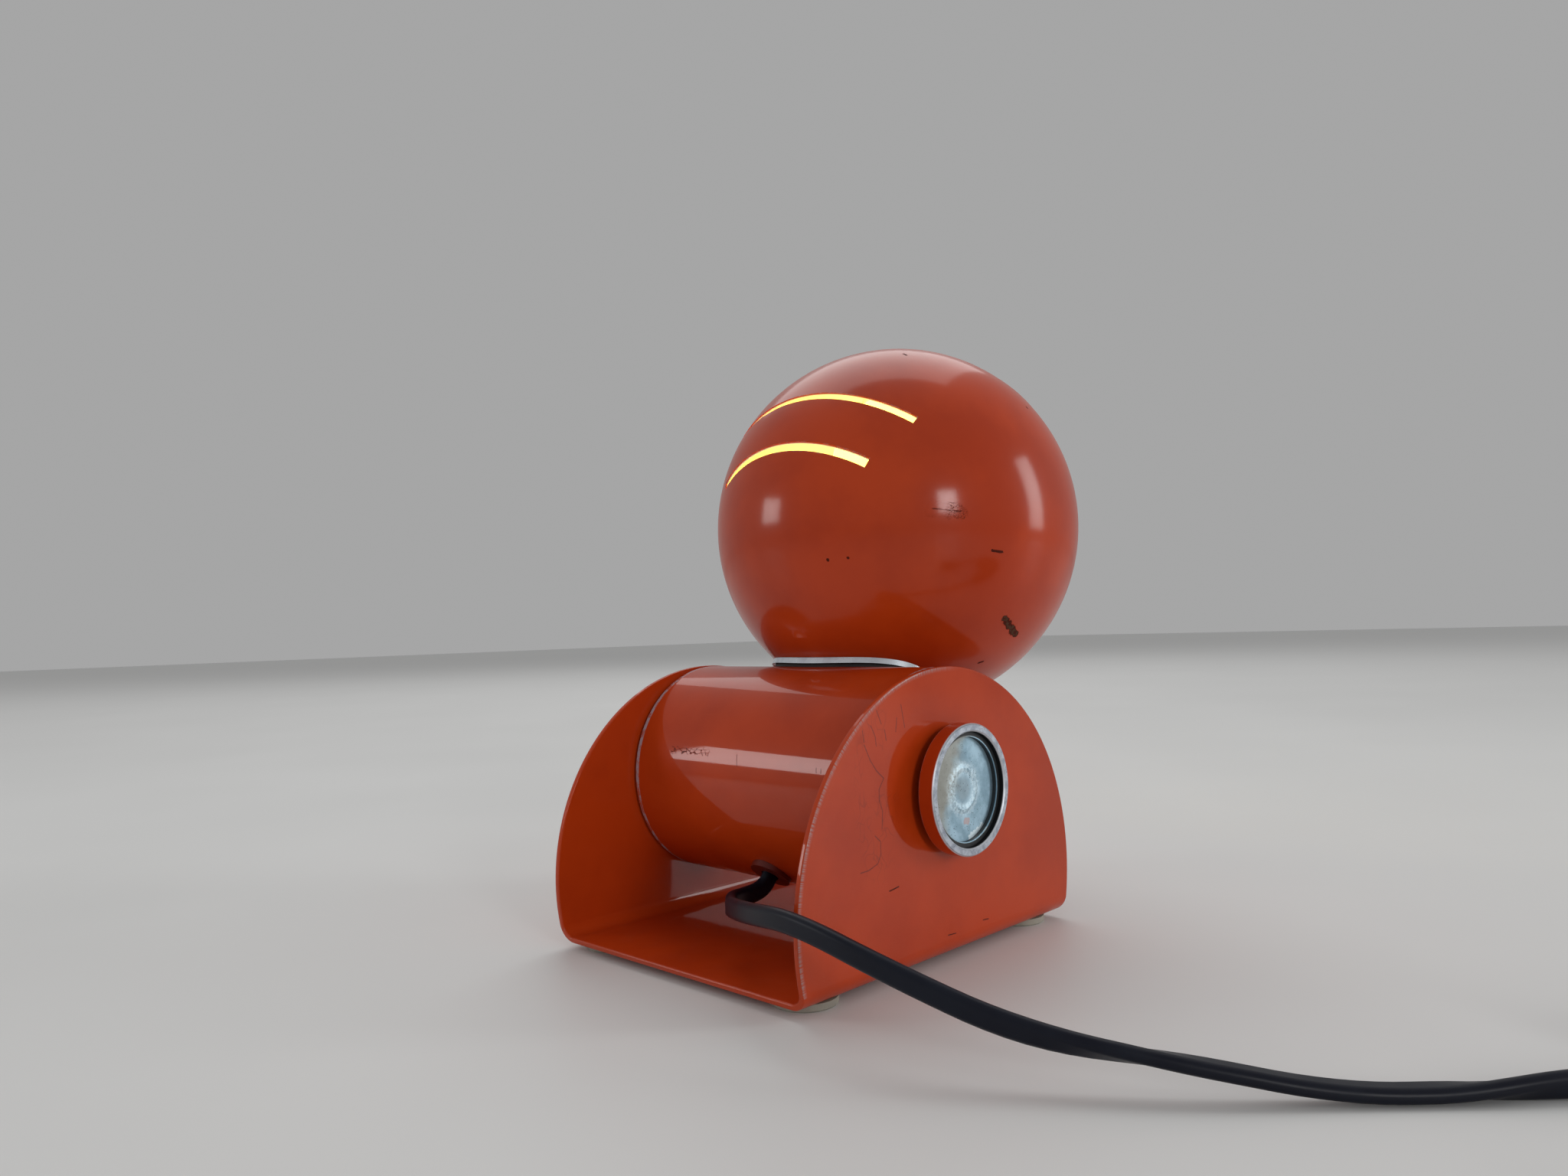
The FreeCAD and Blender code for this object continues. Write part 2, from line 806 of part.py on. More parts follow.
def make_bulb():
    keep(
        turned(
            "bulb_contact",
            neck,
            [
                ("0", "bulb_base"),
                ("bulb_contact_radius", "bulb_base"),
                ("bulb_cap_radius - edge_break * 4", "bulb_cap_base"),
                ("0", "bulb_cap_base"),
            ],
        )
    )
    keep(
        turned(
            "bulb_cap",
            neck,
            [
                ("0", "bulb_cap_base"),
                ("bulb_cap_radius - edge_break * 2", "bulb_cap_base"),
                ("bulb_cap_radius", "bulb_cap_base + edge_break * 2"),
                ("bulb_cap_radius", "bulb_cap_top"),
                ("0", "bulb_cap_top"),
            ],
        )
    )

    def globe(name, thinner):
        globe_ball = ball(f"{name}_ball", f"bulb_radius - {thinner}", moved(neck, z="bulb_centre"))
        throat = doc.addObject("Part::Cone", f"{name}_throat")
        throat.setExpression("Radius1", bound(f"bulb_cap_radius - {thinner}"))
        throat.setExpression("Radius2", bound(f"bulb_neck_radius * 1.8 - {thinner}"))
        throat.setExpression("Height", bound("bulb_centre - bulb_cap_top - bulb_radius * 0.5"))
        throat.Placement = moved(neck, z="bulb_cap_top")
        return fuse(name, globe_ball, throat)

    keep(cut("bulb_glass", globe("bulb_outside", "0"), globe("bulb_inside", "bulb_wall")))


# Wiring inside the barrel, on a plate that bridges the tube beside the cord
def make_wiring():
    plate_back = "plate_offset + plate_thick"
    keep(
        box(
            "wiring_plate",
            ("-plate_half_width", "plate_offset", "-plate_half"),
            ("plate_half_width", plate_back, "plate_half"),
            cord_exit,
        )
    )
    keep(
        box(
            "terminal_block",
            ("-block_half_width", "-block_front", "block_top"),
            ("block_half_width", "plate_offset", "block_bottom"),
            cord_exit,
        )
    )
    facing = Placement(Vector(), Rotation(ALONG_X, 90))
    screws = []
    for k, (x, z) in enumerate(((x, z) for x in (-1, 1) for z in (1, 3))):
        place = moved(
            cord_exit, f"block_half_width * {x} / 2", "-block_front", f"block_bottom - block_length * {z} / 4"
        )
        screws.append(
            cylinder(f"terminal_screw_{k}", "block_screw_radius", "block_screw_head", place.multiply(facing))
        )
    keep(group("terminal_screws", *screws))
    clamp_block = box(
        "cord_clamp_block",
        ("-clamp_half_width", "-block_front", "clamp_bottom - clamp_height"),
        ("clamp_half_width", "plate_offset", "clamp_bottom"),
        cord_exit,
    )
    keep(
        cut(
            "cord_clamp",
            clamp_block,
            cylinder("cord_clamp_hole", "cord_radius + fit_gap", "barrel_radius", cord_exit),
        )
    )
    clamp_screws = []
    for k, side in enumerate((-1, 1)):
        place = moved(
            cord_exit, f"clamp_screw_place * {side}", "-block_front", "clamp_bottom - clamp_height / 2"
        )
        clamp_screws.append(
            cylinder(f"clamp_screw_{k}", "clamp_screw_radius", "clamp_screw_head", place.multiply(facing))
        )
    keep(group("cord_clamp_screws", *clamp_screws))
    keep(cylinder("cord_tail", "cord_radius", "grommet_out - block_bottom", cord_exit, "block_bottom"))

    wall = cut(
        "grommet_wall",
        cross_bar("grommet_wall_out", "barrel_radius + fit_gap"),
        cross_bar("grommet_wall_in", "barrel_in - fit_gap"),
        cylinder("grommet_throat", "grommet_radius", "barrel_radius * 2", cord_exit),
    )
    blank = cylinder(
        "grommet_blank", "grommet_lip_radius", "grommet_out - grommet_in", cord_exit, "grommet_in"
    )
    hole = cylinder("grommet_hole", "cord_radius + fit_gap", "barrel_radius * 2", cord_exit)
    keep(cut("cord_grommet", blank, wall, hole))

    for name, side in (("live", -1), ("neutral", 1)):
        x = number(f"lead_place * {side}")
        start = cord_exit.multVec(Vector(x, 0, number("block_top - lead_gap")))
        end = neck.multVec(Vector(x, 0, number("insulator_base - lead_gap")))
        lead = doc.addObject("Part::Cylinder", f"lead_{name}")
        lead.setExpression("Radius", bound("lead_radius"))
        lead.Height = start.distanceToPoint(end)
        lead.Placement = Placement(start, Rotation(ALONG_Z, end - start))
        keep(lead)


# Cord: hand-chosen points in the air and on the table, then a tied coil and a plug. The first are measured
# from the cord's end at the grommet, the next across the bracket's back edge, the rest on the table.
FROM_EXIT = [(0.3, 3.25, -1.66), (0.5, 9.95, -2.06), (-2.5, 16.65, -1.16)]
ACROSS_EDGE = [(-10.1, -13.8, 18.2), (-17.8, -5.7, 21.3), (-31.8, 2.5, 23.6), (-55.0, 9.2, 26.7)]
TABLE_RUN = [
    (-82.0, 67.6, 20.2),
    (-108.0, 57.8, 11.0),
    (-134.0, 43.0, 7.2),
    (-156.5, 25.4, 3.3),
    (-174.6, 9.1, 3.2),
    (-189.5, -6.0, 3.4),
    (-201.0, -16.9, 3.7),
]
SWITCH_START = Vector(number("-switch_reach"), number("-switch_forward"), number("coil_lift"))


def route_edges(points):
    """Straight runs joined by tangent arcs, each as large as its two runs allow; prints the radii."""
    share = 0.45
    edges = []
    radii = []
    start = points[0]
    for before, corner, after in zip(points, points[1:], points[2:]):
        back, ahead = (before - corner).normalize(), (after - corner).normalize()
        setback = share * min((before - corner).Length, (after - corner).Length)
        turn = math.pi - back.getAngle(ahead)
        radius = setback / math.tan(turn / 2)
        radii.append(radius)
        first, last = corner + back * setback, corner + ahead * setback
        inward = (back + ahead).normalize()
        middle = corner + inward * (radius / math.cos(turn / 2) - radius)
        edges.append(Part.LineSegment(start, first).toShape())
        edges.append(Part.Arc(first, middle, last).toShape())
        start = last
    edges.append(Part.LineSegment(start, points[-1]).toShape())
    print("bend radii", [round(radius, 1) for radius in radii])
    return edges


def tube(label, edges):
    """A round cord along joined edges, whose volume is compared with its section times its length."""
    radius = number("cord_radius")
    path = Part.Wire(edges)
    first = path.OrderedEdges[0]
    start, heading = first.valueAt(first.FirstParameter), first.tangentAt(first.FirstParameter)
    section = Part.Wire(Part.Circle(start, heading, radius).toShape())
    shell = Part.BRepOffsetAPI.MakePipeShell(path)
    shell.add(section)
    shell.build()
    shell.makeSolid()
    cord = doc.addObject("Part::Feature", label)
    cord.Shape = Part.Solid(shell.shape())
    expected = math.pi * radius**2 * path.Length
    print(label, "length", round(path.Length, 1), "volume share", round(cord.Shape.Volume / expected, 5))
    return keep(cord), path.Length


def arc_pair(start, start_way, end, end_way):
    """Two arcs that leave one point and reach another along the given ways."""
    gap = end - start
    ways = start_way + end_way
    square = 2 * (1 - start_way.dot(end_way))
    half = gap.dot(ways)
    reach = (math.sqrt(half**2 + square * gap.dot(gap)) - half) / square if square > 1e-9 else gap.Length / 4
    first, second = start + start_way * reach, end - end_way * reach
    joint = (first + second) * 0.5
    edges = []
    for low, corner, high in ((start, first, joint), (joint, second, end)):
        back, ahead = (low - corner).normalize(), (high - corner).normalize()
        half_turn = (math.pi - back.getAngle(ahead)) / 2
        radius = (low - corner).Length / math.tan(half_turn)
        inward = (back + ahead).normalize()
        middle = corner + inward * (radius / math.cos(half_turn) - radius)
        edges.append(Part.Arc(low, middle, high).toShape())
    return edges


def make_coil(entry, heading):
    """A two-layer coil that winds in on the table and out again on top, clockwise from its entry."""
    outer, inner = number("coil_outer_radius"), number("coil_inner_radius")
    low, high = number("coil_lift"), number("coil_lift + coil_layer")
    lead, turns = number("coil_lead"), int(number("coil_turns"))
    start = entry + heading * lead
    to_centre = Vector(heading.y, -heading.x, 0)
    centre = Vector(start.x, start.y, 0) + to_centre * outer
    first_angle = math.atan2(start.y - centre.y, start.x - centre.x)
    steps_in, steps_over = 4 * turns, 2
    steps = 2 * steps_in + steps_over

    def place(step):
        """Angle, radius and height at a number of quarter turns from the entry."""
        angle = first_angle - step * math.pi / 2
        inwards = min(step, steps - step, steps_in)
        radius = outer - (outer - inner) * inwards / steps_in
        climb = min(max((step - steps_in) / steps_over, 0), 1)
        height = low + (high - low) * climb * climb * (3 - 2 * climb)
        return Vector(centre.x + radius * math.cos(angle), centre.y + radius * math.sin(angle), height)

    def way(step):
        """The cord's direction there, from places close by."""
        ahead, behind = place(step + 0.01), place(step - 0.01)
        return (ahead - behind).normalize()

    ways = [way(step) for step in range(steps + 1)]
    ways[0] = heading
    ways[-1] = Vector(ways[-1].x, ways[-1].y, 0).normalize()
    edges = [Part.LineSegment(entry, start).toShape()]
    for step in range(steps):
        edges += arc_pair(place(step), ways[step], place(step + 1), ways[step + 1])
    leave = place(steps)
    end = leave + ways[-1] * lead
    edges.append(Part.LineSegment(leave, end).toShape())
    __, length = tube("cord_coil", edges)

    samples = []
    along = 0.0
    for edge in edges:
        count = max(2, int(edge.Length / 3))
        for k in range(count):
            samples.append((along + edge.Length * k / count, edge.valueAt(
                edge.FirstParameter + (edge.LastParameter - edge.FirstParameter) * k / count)))
        along += edge.Length
    diameter = 2 * number("cord_radius")
    apart = min(
        p.distanceToPoint(q) for s, p in samples for t, q in samples if t - s > math.pi * inner / 2
    )
    print("coil gap to itself", round(apart - diameter, 2), "turns", steps / 4)
    return centre, end, ways[-1], length


def make_tie(centre):
    """A band round the coil's turns at one place."""
    frame = Placement(centre, Rotation(ALONG_Z, number("tie_angle")))
    reach_in = "coil_inner_radius - cord_radius - tie_gap"
    reach_out = "coil_outer_radius + cord_radius + tie_gap"
    under = "coil_lift - cord_radius - tie_gap"
    over = "coil_lift + coil_layer + cord_radius + tie_gap"
    outside = box(
        "tie_outside",
        (f"{reach_in} - tie_thick", "-tie_width / 2", f"{under} - tie_thick"),
        (f"{reach_out} + tie_thick", "tie_width / 2", f"{over} + tie_thick"),
        frame,
    )
    inside = box("tie_inside", (reach_in, "-tie_width", under), (reach_out, "tie_width", over), frame)
    keep(cut("coil_tie", outside, inside))


def make_switch(frame):
    """A switch on the cord: two half cases, a rocker on a pin, and two screws."""
    def case_outline(inset):
        far, wide, corner = f"switch_length - {inset}", f"switch_half_width - {inset}", "switch_corner"
        return [
            (f"{inset} + {corner}", f"-({wide})"),
            (f"{far} - {corner}", f"-({wide})"),
            (far, f"-({wide} - {corner})"),
            (far, f"{wide} - {corner}"),
            (f"{far} - {corner}", wide),
            (f"{inset} + {corner}", wide),
            (inset, f"{wide} - {corner}"),
            (inset, f"-({wide} - {corner})"),
        ]

    hollow_height = "switch_height - switch_wall * 2"
    hollow = padded("switch_hollow", frame, case_outline("switch_wall"), hollow_height, "switch_wall")
    base = padded("switch_base_block", frame, case_outline("0"), "switch_split")
    keep(cut("switch_base", base, hollow))

    middle = moved(frame, "switch_length / 2")
    cover = padded("switch_cover_block", frame, case_outline("0"), "switch_height - switch_split", "switch_split")
    window = box(
        "switch_window",
        ("-rocker_half_length - rocker_gap * 3", "-rocker_half_width - rocker_gap", "switch_split"),
        ("rocker_half_length + rocker_gap * 3", "rocker_half_width + rocker_gap", "switch_height * 2"),
        middle,
    )
    open_cover = cut("switch_open_cover", cover, hollow, window)
    bosses = []
    for side, low, high in (
        ("near", "-rocker_half_width - rocker_gap - rocker_boss", "-rocker_half_width - rocker_gap"),
        ("far", "rocker_half_width + rocker_gap", "rocker_half_width + rocker_gap + rocker_boss"),
    ):
        bosses.append(
            box(
                f"switch_boss_{side}",
                ("-rocker_pin_radius * 2", low, "rocker_pivot_height - rocker_pin_radius * 2"),
                ("rocker_pin_radius * 2", high, "switch_height - switch_wall / 2"),
                middle,
            )
        )
    across = moved(middle, z="rocker_pivot_height").multiply(Placement(Vector(), Rotation(ALONG_X, -90)))
    pin_reach = "rocker_half_width + rocker_gap + rocker_boss - turn_gap"
    pin_hole = cylinder(
        "switch_pin_hole", "rocker_pin_radius + running_fit", "switch_half_width * 2", across, "-switch_half_width"
    )
    keep(cut("switch_cover", fuse("switch_bossed_cover", open_cover, *bosses), pin_hole))

    lean = Placement(Vector(), Rotation(ALONG_Y, number("rocker_lean")))
    rocker = doc.addObject("PartDesign::Body", "switch_rocker_block")
    sketch = outline(
        rocker,
        "XZ_Plane",
        [
            ("-rocker_half_length", "-rocker_drop"),
            ("rocker_half_length", "-rocker_drop"),
            ("rocker_half_length", "rocker_rise"),
            ("rocker_half_length / 3", "rocker_rise - rocker_dip"),
            ("-rocker_half_length / 3", "rocker_rise - rocker_dip"),
            ("-rocker_half_length", "rocker_rise"),
        ],
    )
    pad = rocker.newObject("PartDesign::Pad", "switch_rocker_pad")
    pad.Profile = sketch
    pad.Midplane = True
    pad.setExpression("Length", bound("rocker_half_width * 2"))
    rocker.Placement = moved(middle, z="rocker_pivot_height").multiply(lean)
    pin = cylinder("switch_rocker_pin", "rocker_pin_radius", f"({pin_reach}) * 2", across, f"-({pin_reach})")
    keep(fuse("switch_rocker", rocker, pin))

    screws = []
    for k, side in enumerate((-1, 1)):
        place = moved(middle, f"switch_screw_place * {side}", "0", "switch_height")
        screws.append(cylinder(f"switch_screw_{k}", "switch_screw_radius", "switch_screw_head", place))
    keep(group("switch_screws", *screws))


def make_plug(frame):
    """A flat two-pin plug lying on its wide side, with its tapered relief; the frame's X is the pins' way."""
    back = moved(frame, z="-plug_thick / 2")
    start, tail = "relief_length", "plug_tail_half"
    block = padded(
        "plug_block",
        back,
        [
            (start, f"-{tail}"),
            (f"{start} + plug_length - plug_waist", "-plug_waist_half"),
            (f"{start} + plug_length - plug_shoulder", "-plug_half_width"),
            (f"{start} + plug_length", "-plug_half_width"),
            (f"{start} + plug_length", "plug_half_width"),
            (f"{start} + plug_length - plug_shoulder", "plug_half_width"),
            (f"{start} + plug_length - plug_waist", "plug_waist_half"),
            (start, tail),
        ],
        "plug_thick",
    )

    def flat_rims(shape):
        return lambda edge: edge.BoundBox.ZLength < 1e-6

    keep(rounded("plug_body", block, "plug_round", flat_rims))
    along = frame.multiply(Placement(Vector(), Rotation(ALONG_Y, 90)))
    keep(
        turned(
            "plug_relief",
            along,
            [
                ("0", "0"),
                ("cord_radius + sheet_thick / 2", "0"),
                ("relief_radius", "relief_length"),
                ("0", "relief_length"),
            ],
        )
    )
    pins = []
    for k, side in enumerate((-1, 1)):
        place = moved(frame, "relief_length + plug_length", f"pin_place * {side}").multiply(
            Placement(Vector(), Rotation(ALONG_Y, 90))
        )
        shank = cylinder(f"plug_pin_{k}_shank", "pin_radius", "pin_length - pin_radius", place)
        tip = ball(f"plug_pin_{k}_tip", "pin_radius", moved(place, z="pin_length - pin_radius"))
        pins.append(fuse(f"plug_pin_{k}", shank, tip))
    keep(group("plug_pins", *pins))


def make_cord():
    exit_face = cord_exit.multVec(Vector(0, 0, number("grommet_out")))
    exit_end = cord_exit.multVec(Vector(0, 0, number("grommet_out + cord_stub")))
    edge = Vector(0, number("base_half"), 0)
    lead_out = [exit_face, exit_end]
    lead_out += [exit_end + Vector(*p) for p in FROM_EXIT] + [edge + Vector(*p) for p in ACROSS_EDGE]
    table_run = [Vector(*p) for p in TABLE_RUN] + [SWITCH_START]
    # The two nodes share one route and meet half way along the run between them
    meeting = (lead_out[-1] + table_run[0]) * 0.5
    __, first = tube("cord_lead_out", route_edges(lead_out + [meeting]))
    __, second = tube("cord_run", route_edges([meeting] + table_run))
    heading = Vector(*[SWITCH_START[k] - table_run[-2][k] for k in range(2)], 0).normalize()
    way = Rotation(ALONG_X, heading)
    make_switch(Placement(Vector(SWITCH_START.x, SWITCH_START.y, 0), way))
    entry = SWITCH_START + heading * number("switch_length")
    centre, end, leaving, third = make_coil(entry, heading)
    make_tie(centre)
    plug_height = number("plug_thick / 2")
    drop = end.z - plug_height
    plug_tail = [
        end,
        end + leaving * number("plug_tail * 0.24"),
        end + leaving * number("plug_tail * 0.5") + Vector(0, 0, -drop * 0.45),
        end + leaving * number("plug_tail * 0.76") + Vector(0, 0, -drop),
        end + leaving * number("plug_tail") + Vector(0, 0, -drop),
    ]
    __, fourth = tube("cord_plug_tail", route_edges(plug_tail))
    make_plug(Placement(plug_tail[-1], Rotation(ALONG_X, leaving)))
    total = first + second + third + fourth + number("switch_length + relief_length")
    print("cord from the barrel to the plug", round(total, 1))


make_bracket()
make_feet()
make_barrel()
make_pivot()
make_knob()
make_neck()
make_head()
make_lampholder()
make_bulb()
make_wiring()
make_cord()
doc.recompute()

faults = [o.Label for o in doc.Objects if {"Invalid", "Error"} & set(o.State)]
faults += [name for name, o in nodes.items() if o.Shape.isNull() or not o.Shape.isValid()]
faults += [name for name, o in nodes.items() if name != o.Label or not o.Shape.Solids]
if faults:
    raise RuntimeError("failed: " + ", ".join(faults))
os.makedirs("parts", exist_ok=True)
for name, piece in nodes.items():
    piece.Shape.exportStep(os.path.join("parts", name + ".step"))
print(len(nodes), "sub-parts")
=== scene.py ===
"""Looks of a small lacquered metal table lamp: its finishes, its flex with switch and plug, floor and light."""

import math

import bpy
from mathutils import Matrix, Vector, geometry


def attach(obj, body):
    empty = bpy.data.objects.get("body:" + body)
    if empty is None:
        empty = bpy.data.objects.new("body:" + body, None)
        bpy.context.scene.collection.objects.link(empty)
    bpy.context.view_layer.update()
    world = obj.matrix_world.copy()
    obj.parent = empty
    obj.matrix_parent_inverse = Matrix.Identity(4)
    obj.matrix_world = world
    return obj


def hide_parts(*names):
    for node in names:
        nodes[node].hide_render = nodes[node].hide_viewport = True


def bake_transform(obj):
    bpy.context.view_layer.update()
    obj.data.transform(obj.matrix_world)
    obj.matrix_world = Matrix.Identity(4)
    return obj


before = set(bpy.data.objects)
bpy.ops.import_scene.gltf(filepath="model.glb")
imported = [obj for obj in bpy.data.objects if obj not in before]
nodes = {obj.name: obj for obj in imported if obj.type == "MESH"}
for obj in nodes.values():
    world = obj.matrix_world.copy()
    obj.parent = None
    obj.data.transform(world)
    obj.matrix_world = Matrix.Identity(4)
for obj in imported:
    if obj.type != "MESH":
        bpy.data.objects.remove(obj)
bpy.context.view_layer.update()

MM = 0.001

# Places on the lamp that more than one finish or piece needs, in millimetres
BARREL_HEIGHT = 48.0
HEAD_CENTRE = (0.0, -43.27, 125.43)
CHEEK_CENTRE_HEIGHT = 19.4
CHEEK_FACE = 49.8
KNOB_FRONT = 57.6
COIL_CENTRE = (-303.94, -63.31)
TIE_ANGLE = 70.0
SWITCH_START = (-210.0, -26.2, 0.0)
SWITCH_WAY = (-0.69542, -0.71860, 0.0)
PLUG_START = (-282.5, 21.6, 6.85)
PLUG_WAY = (0.676826, 0.736143, 0.0)
NECK_WAY = (0.0, -0.4879, 0.8729)


def metres(place):
    return Vector(place) * MM


# ---- node work


def fill(tree, socket, value):
    """Link a socket to another one, or set it to a plain value."""
    if isinstance(value, bpy.types.NodeSocket):
        tree.links.new(value, socket)
    else:
        socket.default_value = value


def add_node(tree, kind, *inputs, **options):
    """A node of that kind; options set its properties, inputs are pairs of a socket's name or number and a value."""
    made = tree.nodes.new("ShaderNode" + kind)
    for name, value in options.items():
        setattr(made, name, value)
    for socket, value in inputs:
        fill(tree, made.inputs[socket], value)
    return made


def sum_of(tree, operation, first, second=0.0, clamp=False):
    return add_node(tree, "Math", (0, first), (1, second), operation=operation, use_clamp=clamp).outputs[0]


def times(tree, first, second):
    return sum_of(tree, "MULTIPLY", first, second)


def plus(tree, first, second):
    return sum_of(tree, "ADD", first, second)


def less(tree, first, second):
    return sum_of(tree, "SUBTRACT", first, second)


def arrow(tree, operation, first, second=(0, 0, 0)):
    """Vector arithmetic; a number comes out where the operation gives one."""
    made = add_node(tree, "VectorMath", (0, first), (1, second), operation=operation)
    return made.outputs["Value" if operation in ("LENGTH", "DISTANCE", "DOT_PRODUCT") else "Vector"]


def drawn(tree, vector, share):
    return add_node(tree, "VectorMath", (0, vector), ("Scale", share), operation="SCALE").outputs[0]


def ramp_between(tree, value, low, high, to_low=0.0, to_high=1.0):
    """A value carried smoothly from one span to another, held at both ends."""
    spans = ("Value", value), ("From Min", low), ("From Max", high), ("To Min", to_low), ("To Max", to_high)
    return add_node(tree, "MapRange", *spans, interpolation_type="SMOOTHSTEP").outputs["Result"]


def tint(tree, share, first, second):
    """The first colour, with that share of the second; a Mix node's colour sockets have numbers only."""
    return add_node(tree, "Mix", (0, share), (6, first), (7, second), data_type="RGBA").outputs[2]


def here(tree):
    return add_node(tree, "TexCoord").outputs["Object"]


def noise(tree, place, scale, detail=3.0, roughness=0.55):
    made = add_node(
        tree, "TexNoise", ("Vector", place), ("Scale", scale), ("Detail", detail), ("Roughness", roughness)
    )
    return made.outputs["Fac"]


def specks_in(tree, place, scale, low, high):
    """Small round specks, one to a cell."""
    spots = add_node(tree, "TexVoronoi", ("Vector", place), ("Scale", scale)).outputs["Distance"]
    return ramp_between(tree, spots, low, high, 1.0, 0.0)


def effect(name, inputs, outputs):
    """An empty node group with its sockets; gives the tree, its input sockets and its output node."""
    tree = bpy.data.node_groups.new(name, "ShaderNodeTree")
    for label, kind, value in inputs:
        socket = tree.interface.new_socket(label, in_out="INPUT", socket_type="NodeSocket" + kind)
        socket.default_value = value
    for label, kind in outputs:
        tree.interface.new_socket(label, in_out="OUTPUT", socket_type="NodeSocket" + kind)
    return tree, tree.nodes.new("NodeGroupInput").outputs, tree.nodes.new("NodeGroupOutput")


def use(tree, group, **values):
    """A shared effect placed in a material with its own values; gives its outputs."""
    return add_node(tree, "Group", *values.items(), node_tree=group).outputs


# ---- shared effects


def make_paint_stroke():
    """A chip, scratch or dot between two places, with a ragged outline and a ring round it."""
    tree, given, result = effect(
        "paint_stroke",
        [
            ("From", "Vector", (0, 0, 0)),
            ("To", "Vector", (0, 0, 0.001)),
            ("Width", "Float", 0.001),
            ("Ragged", "Float", 0.5),
        ],
        [("Mask", "Float"), ("Ring", "Float")],
    )
    place, width = here(tree), given["Width"]
    along = arrow(tree, "SUBTRACT", given["To"], given["From"])
    reach = arrow(tree, "SUBTRACT", place, given["From"])
    share = sum_of(
        tree, "DIVIDE", arrow(tree, "DOT_PRODUCT", reach, along), arrow(tree, "DOT_PRODUCT", along, along), clamp=True
    )
    far = arrow(tree, "LENGTH", arrow(tree, "SUBTRACT", reach, drawn(tree, along, share)))
    rough = less(tree, noise(tree, place, sum_of(tree, "DIVIDE", 0.8, width), 4.0, 0.65), 0.5)
    far = plus(tree, far, times(tree, times(tree, rough, given["Ragged"]), times(tree, width, 2.6)))
    inner, outer = times(tree, width, 0.8), times(tree, width, 1.45)
    fill(tree, result.inputs["Mask"], ramp_between(tree, far, inner, width, 1.0, 0.0))
    fill(tree, result.inputs["Ring"], ramp_between(tree, far, width, outer, 1.0, 0.0))
    return tree


def make_hairlines():
    """Fine rubbed scratches, in patches, in one main direction."""
    tree, given, result = effect(
        "hairline_scratches",
        [("Turn", "Vector", (0, 0, 0)), ("Fineness", "Float", 60.0), ("Amount", "Float", 0.5)],
        [("Mask", "Float")],
    )
    place = here(tree)
    turned = add_node(tree, "VectorRotate", ("Vector", place), ("Rotation", given["Turn"]), rotation_type="EULER_XYZ")
    lines = None
    for extra, spread in ((0.0, (1, 14, 14)), (0.55, (0.8, 11, 17)), (-0.8, (1.3, 19, 9))):
        ways = ("Vector", turned.outputs[0]), ("Angle", extra)
        leaning = add_node(tree, "VectorRotate", *ways, rotation_type="X_AXIS").outputs[0]
        fine = noise(tree, arrow(tree, "MULTIPLY", leaning, spread), given["Fineness"], 1.0, 0.4)
        line = ramp_between(tree, sum_of(tree, "ABSOLUTE", less(tree, fine, 0.5)), 0.0015, 0.007, 1.0, 0.0)
        lines = line if lines is None else sum_of(tree, "MAXIMUM", lines, line)
    patch = ramp_between(tree, noise(tree, place, 55.0, 3.0, 0.6), 0.5, 0.66)
    masked = sum_of(tree, "MULTIPLY", times(tree, lines, patch), given["Amount"], clamp=True)
    fill(tree, result.inputs["Mask"], masked)
    return tree


def make_crazing():
    """Thin cracks that wander and branch, drawn out one way and broken here and there."""
    tree, given, result = effect(
        "crazing",
        [
            ("Stretch", "Vector", (1, 1, 1)),
            ("Cells", "Float", 220.0),
            ("Width", "Float", 0.03),
            ("Wander", "Float", 0.006),
        ],
        [("Mask", "Float")],
    )
    place = here(tree)
    sway = add_node(tree, "TexNoise", ("Vector", place), ("Scale", 150.0), ("Detail", 1.0)).outputs["Color"]
    sway = drawn(tree, arrow(tree, "SUBTRACT", sway, (0.5, 0.5, 0.5)), given["Wander"])
    bent = arrow(tree, "MULTIPLY", arrow(tree, "ADD", place, sway), given["Stretch"])
    edge = add_node(
        tree, "TexVoronoi", ("Vector", bent), ("Scale", given["Cells"]), feature="DISTANCE_TO_EDGE"
    ).outputs["Distance"]
    line = ramp_between(tree, edge, 0.0, given["Width"], 1.0, 0.0)
    broken = ramp_between(tree, noise(tree, place, 70.0, 2.0, 0.5), 0.38, 0.5)
    fill(tree, result.inputs["Mask"], times(tree, line, broken))
    return tree


def make_worn_edge():
    """Paint rubbed off along sharp edges, unevenly."""
    tree, given, result = effect(
        "worn_edge",
        [("Reach", "Float", 0.0008), ("Amount", "Float", 0.5)],
        [("Mask", "Float")],
    )
    soft = add_node(tree, "Bevel", ("Radius", given["Reach"]), samples=4).outputs[0]
    hard = add_node(tree, "NewGeometry").outputs["Normal"]
    edge = ramp_between(tree, arrow(tree, "DOT_PRODUCT", soft, hard), 0.86, 0.99, 1.0, 0.0)
    patch = noise(tree, here(tree), 420.0, 4.0, 0.7)
    limit = less(tree, 0.95, times(tree, given["Amount"], 0.7))
    bare = ramp_between(tree, times(tree, edge, plus(tree, patch, 0.3)), less(tree, limit, 0.12), limit)
    fill(tree, result.inputs["Mask"], bare)
    return tree


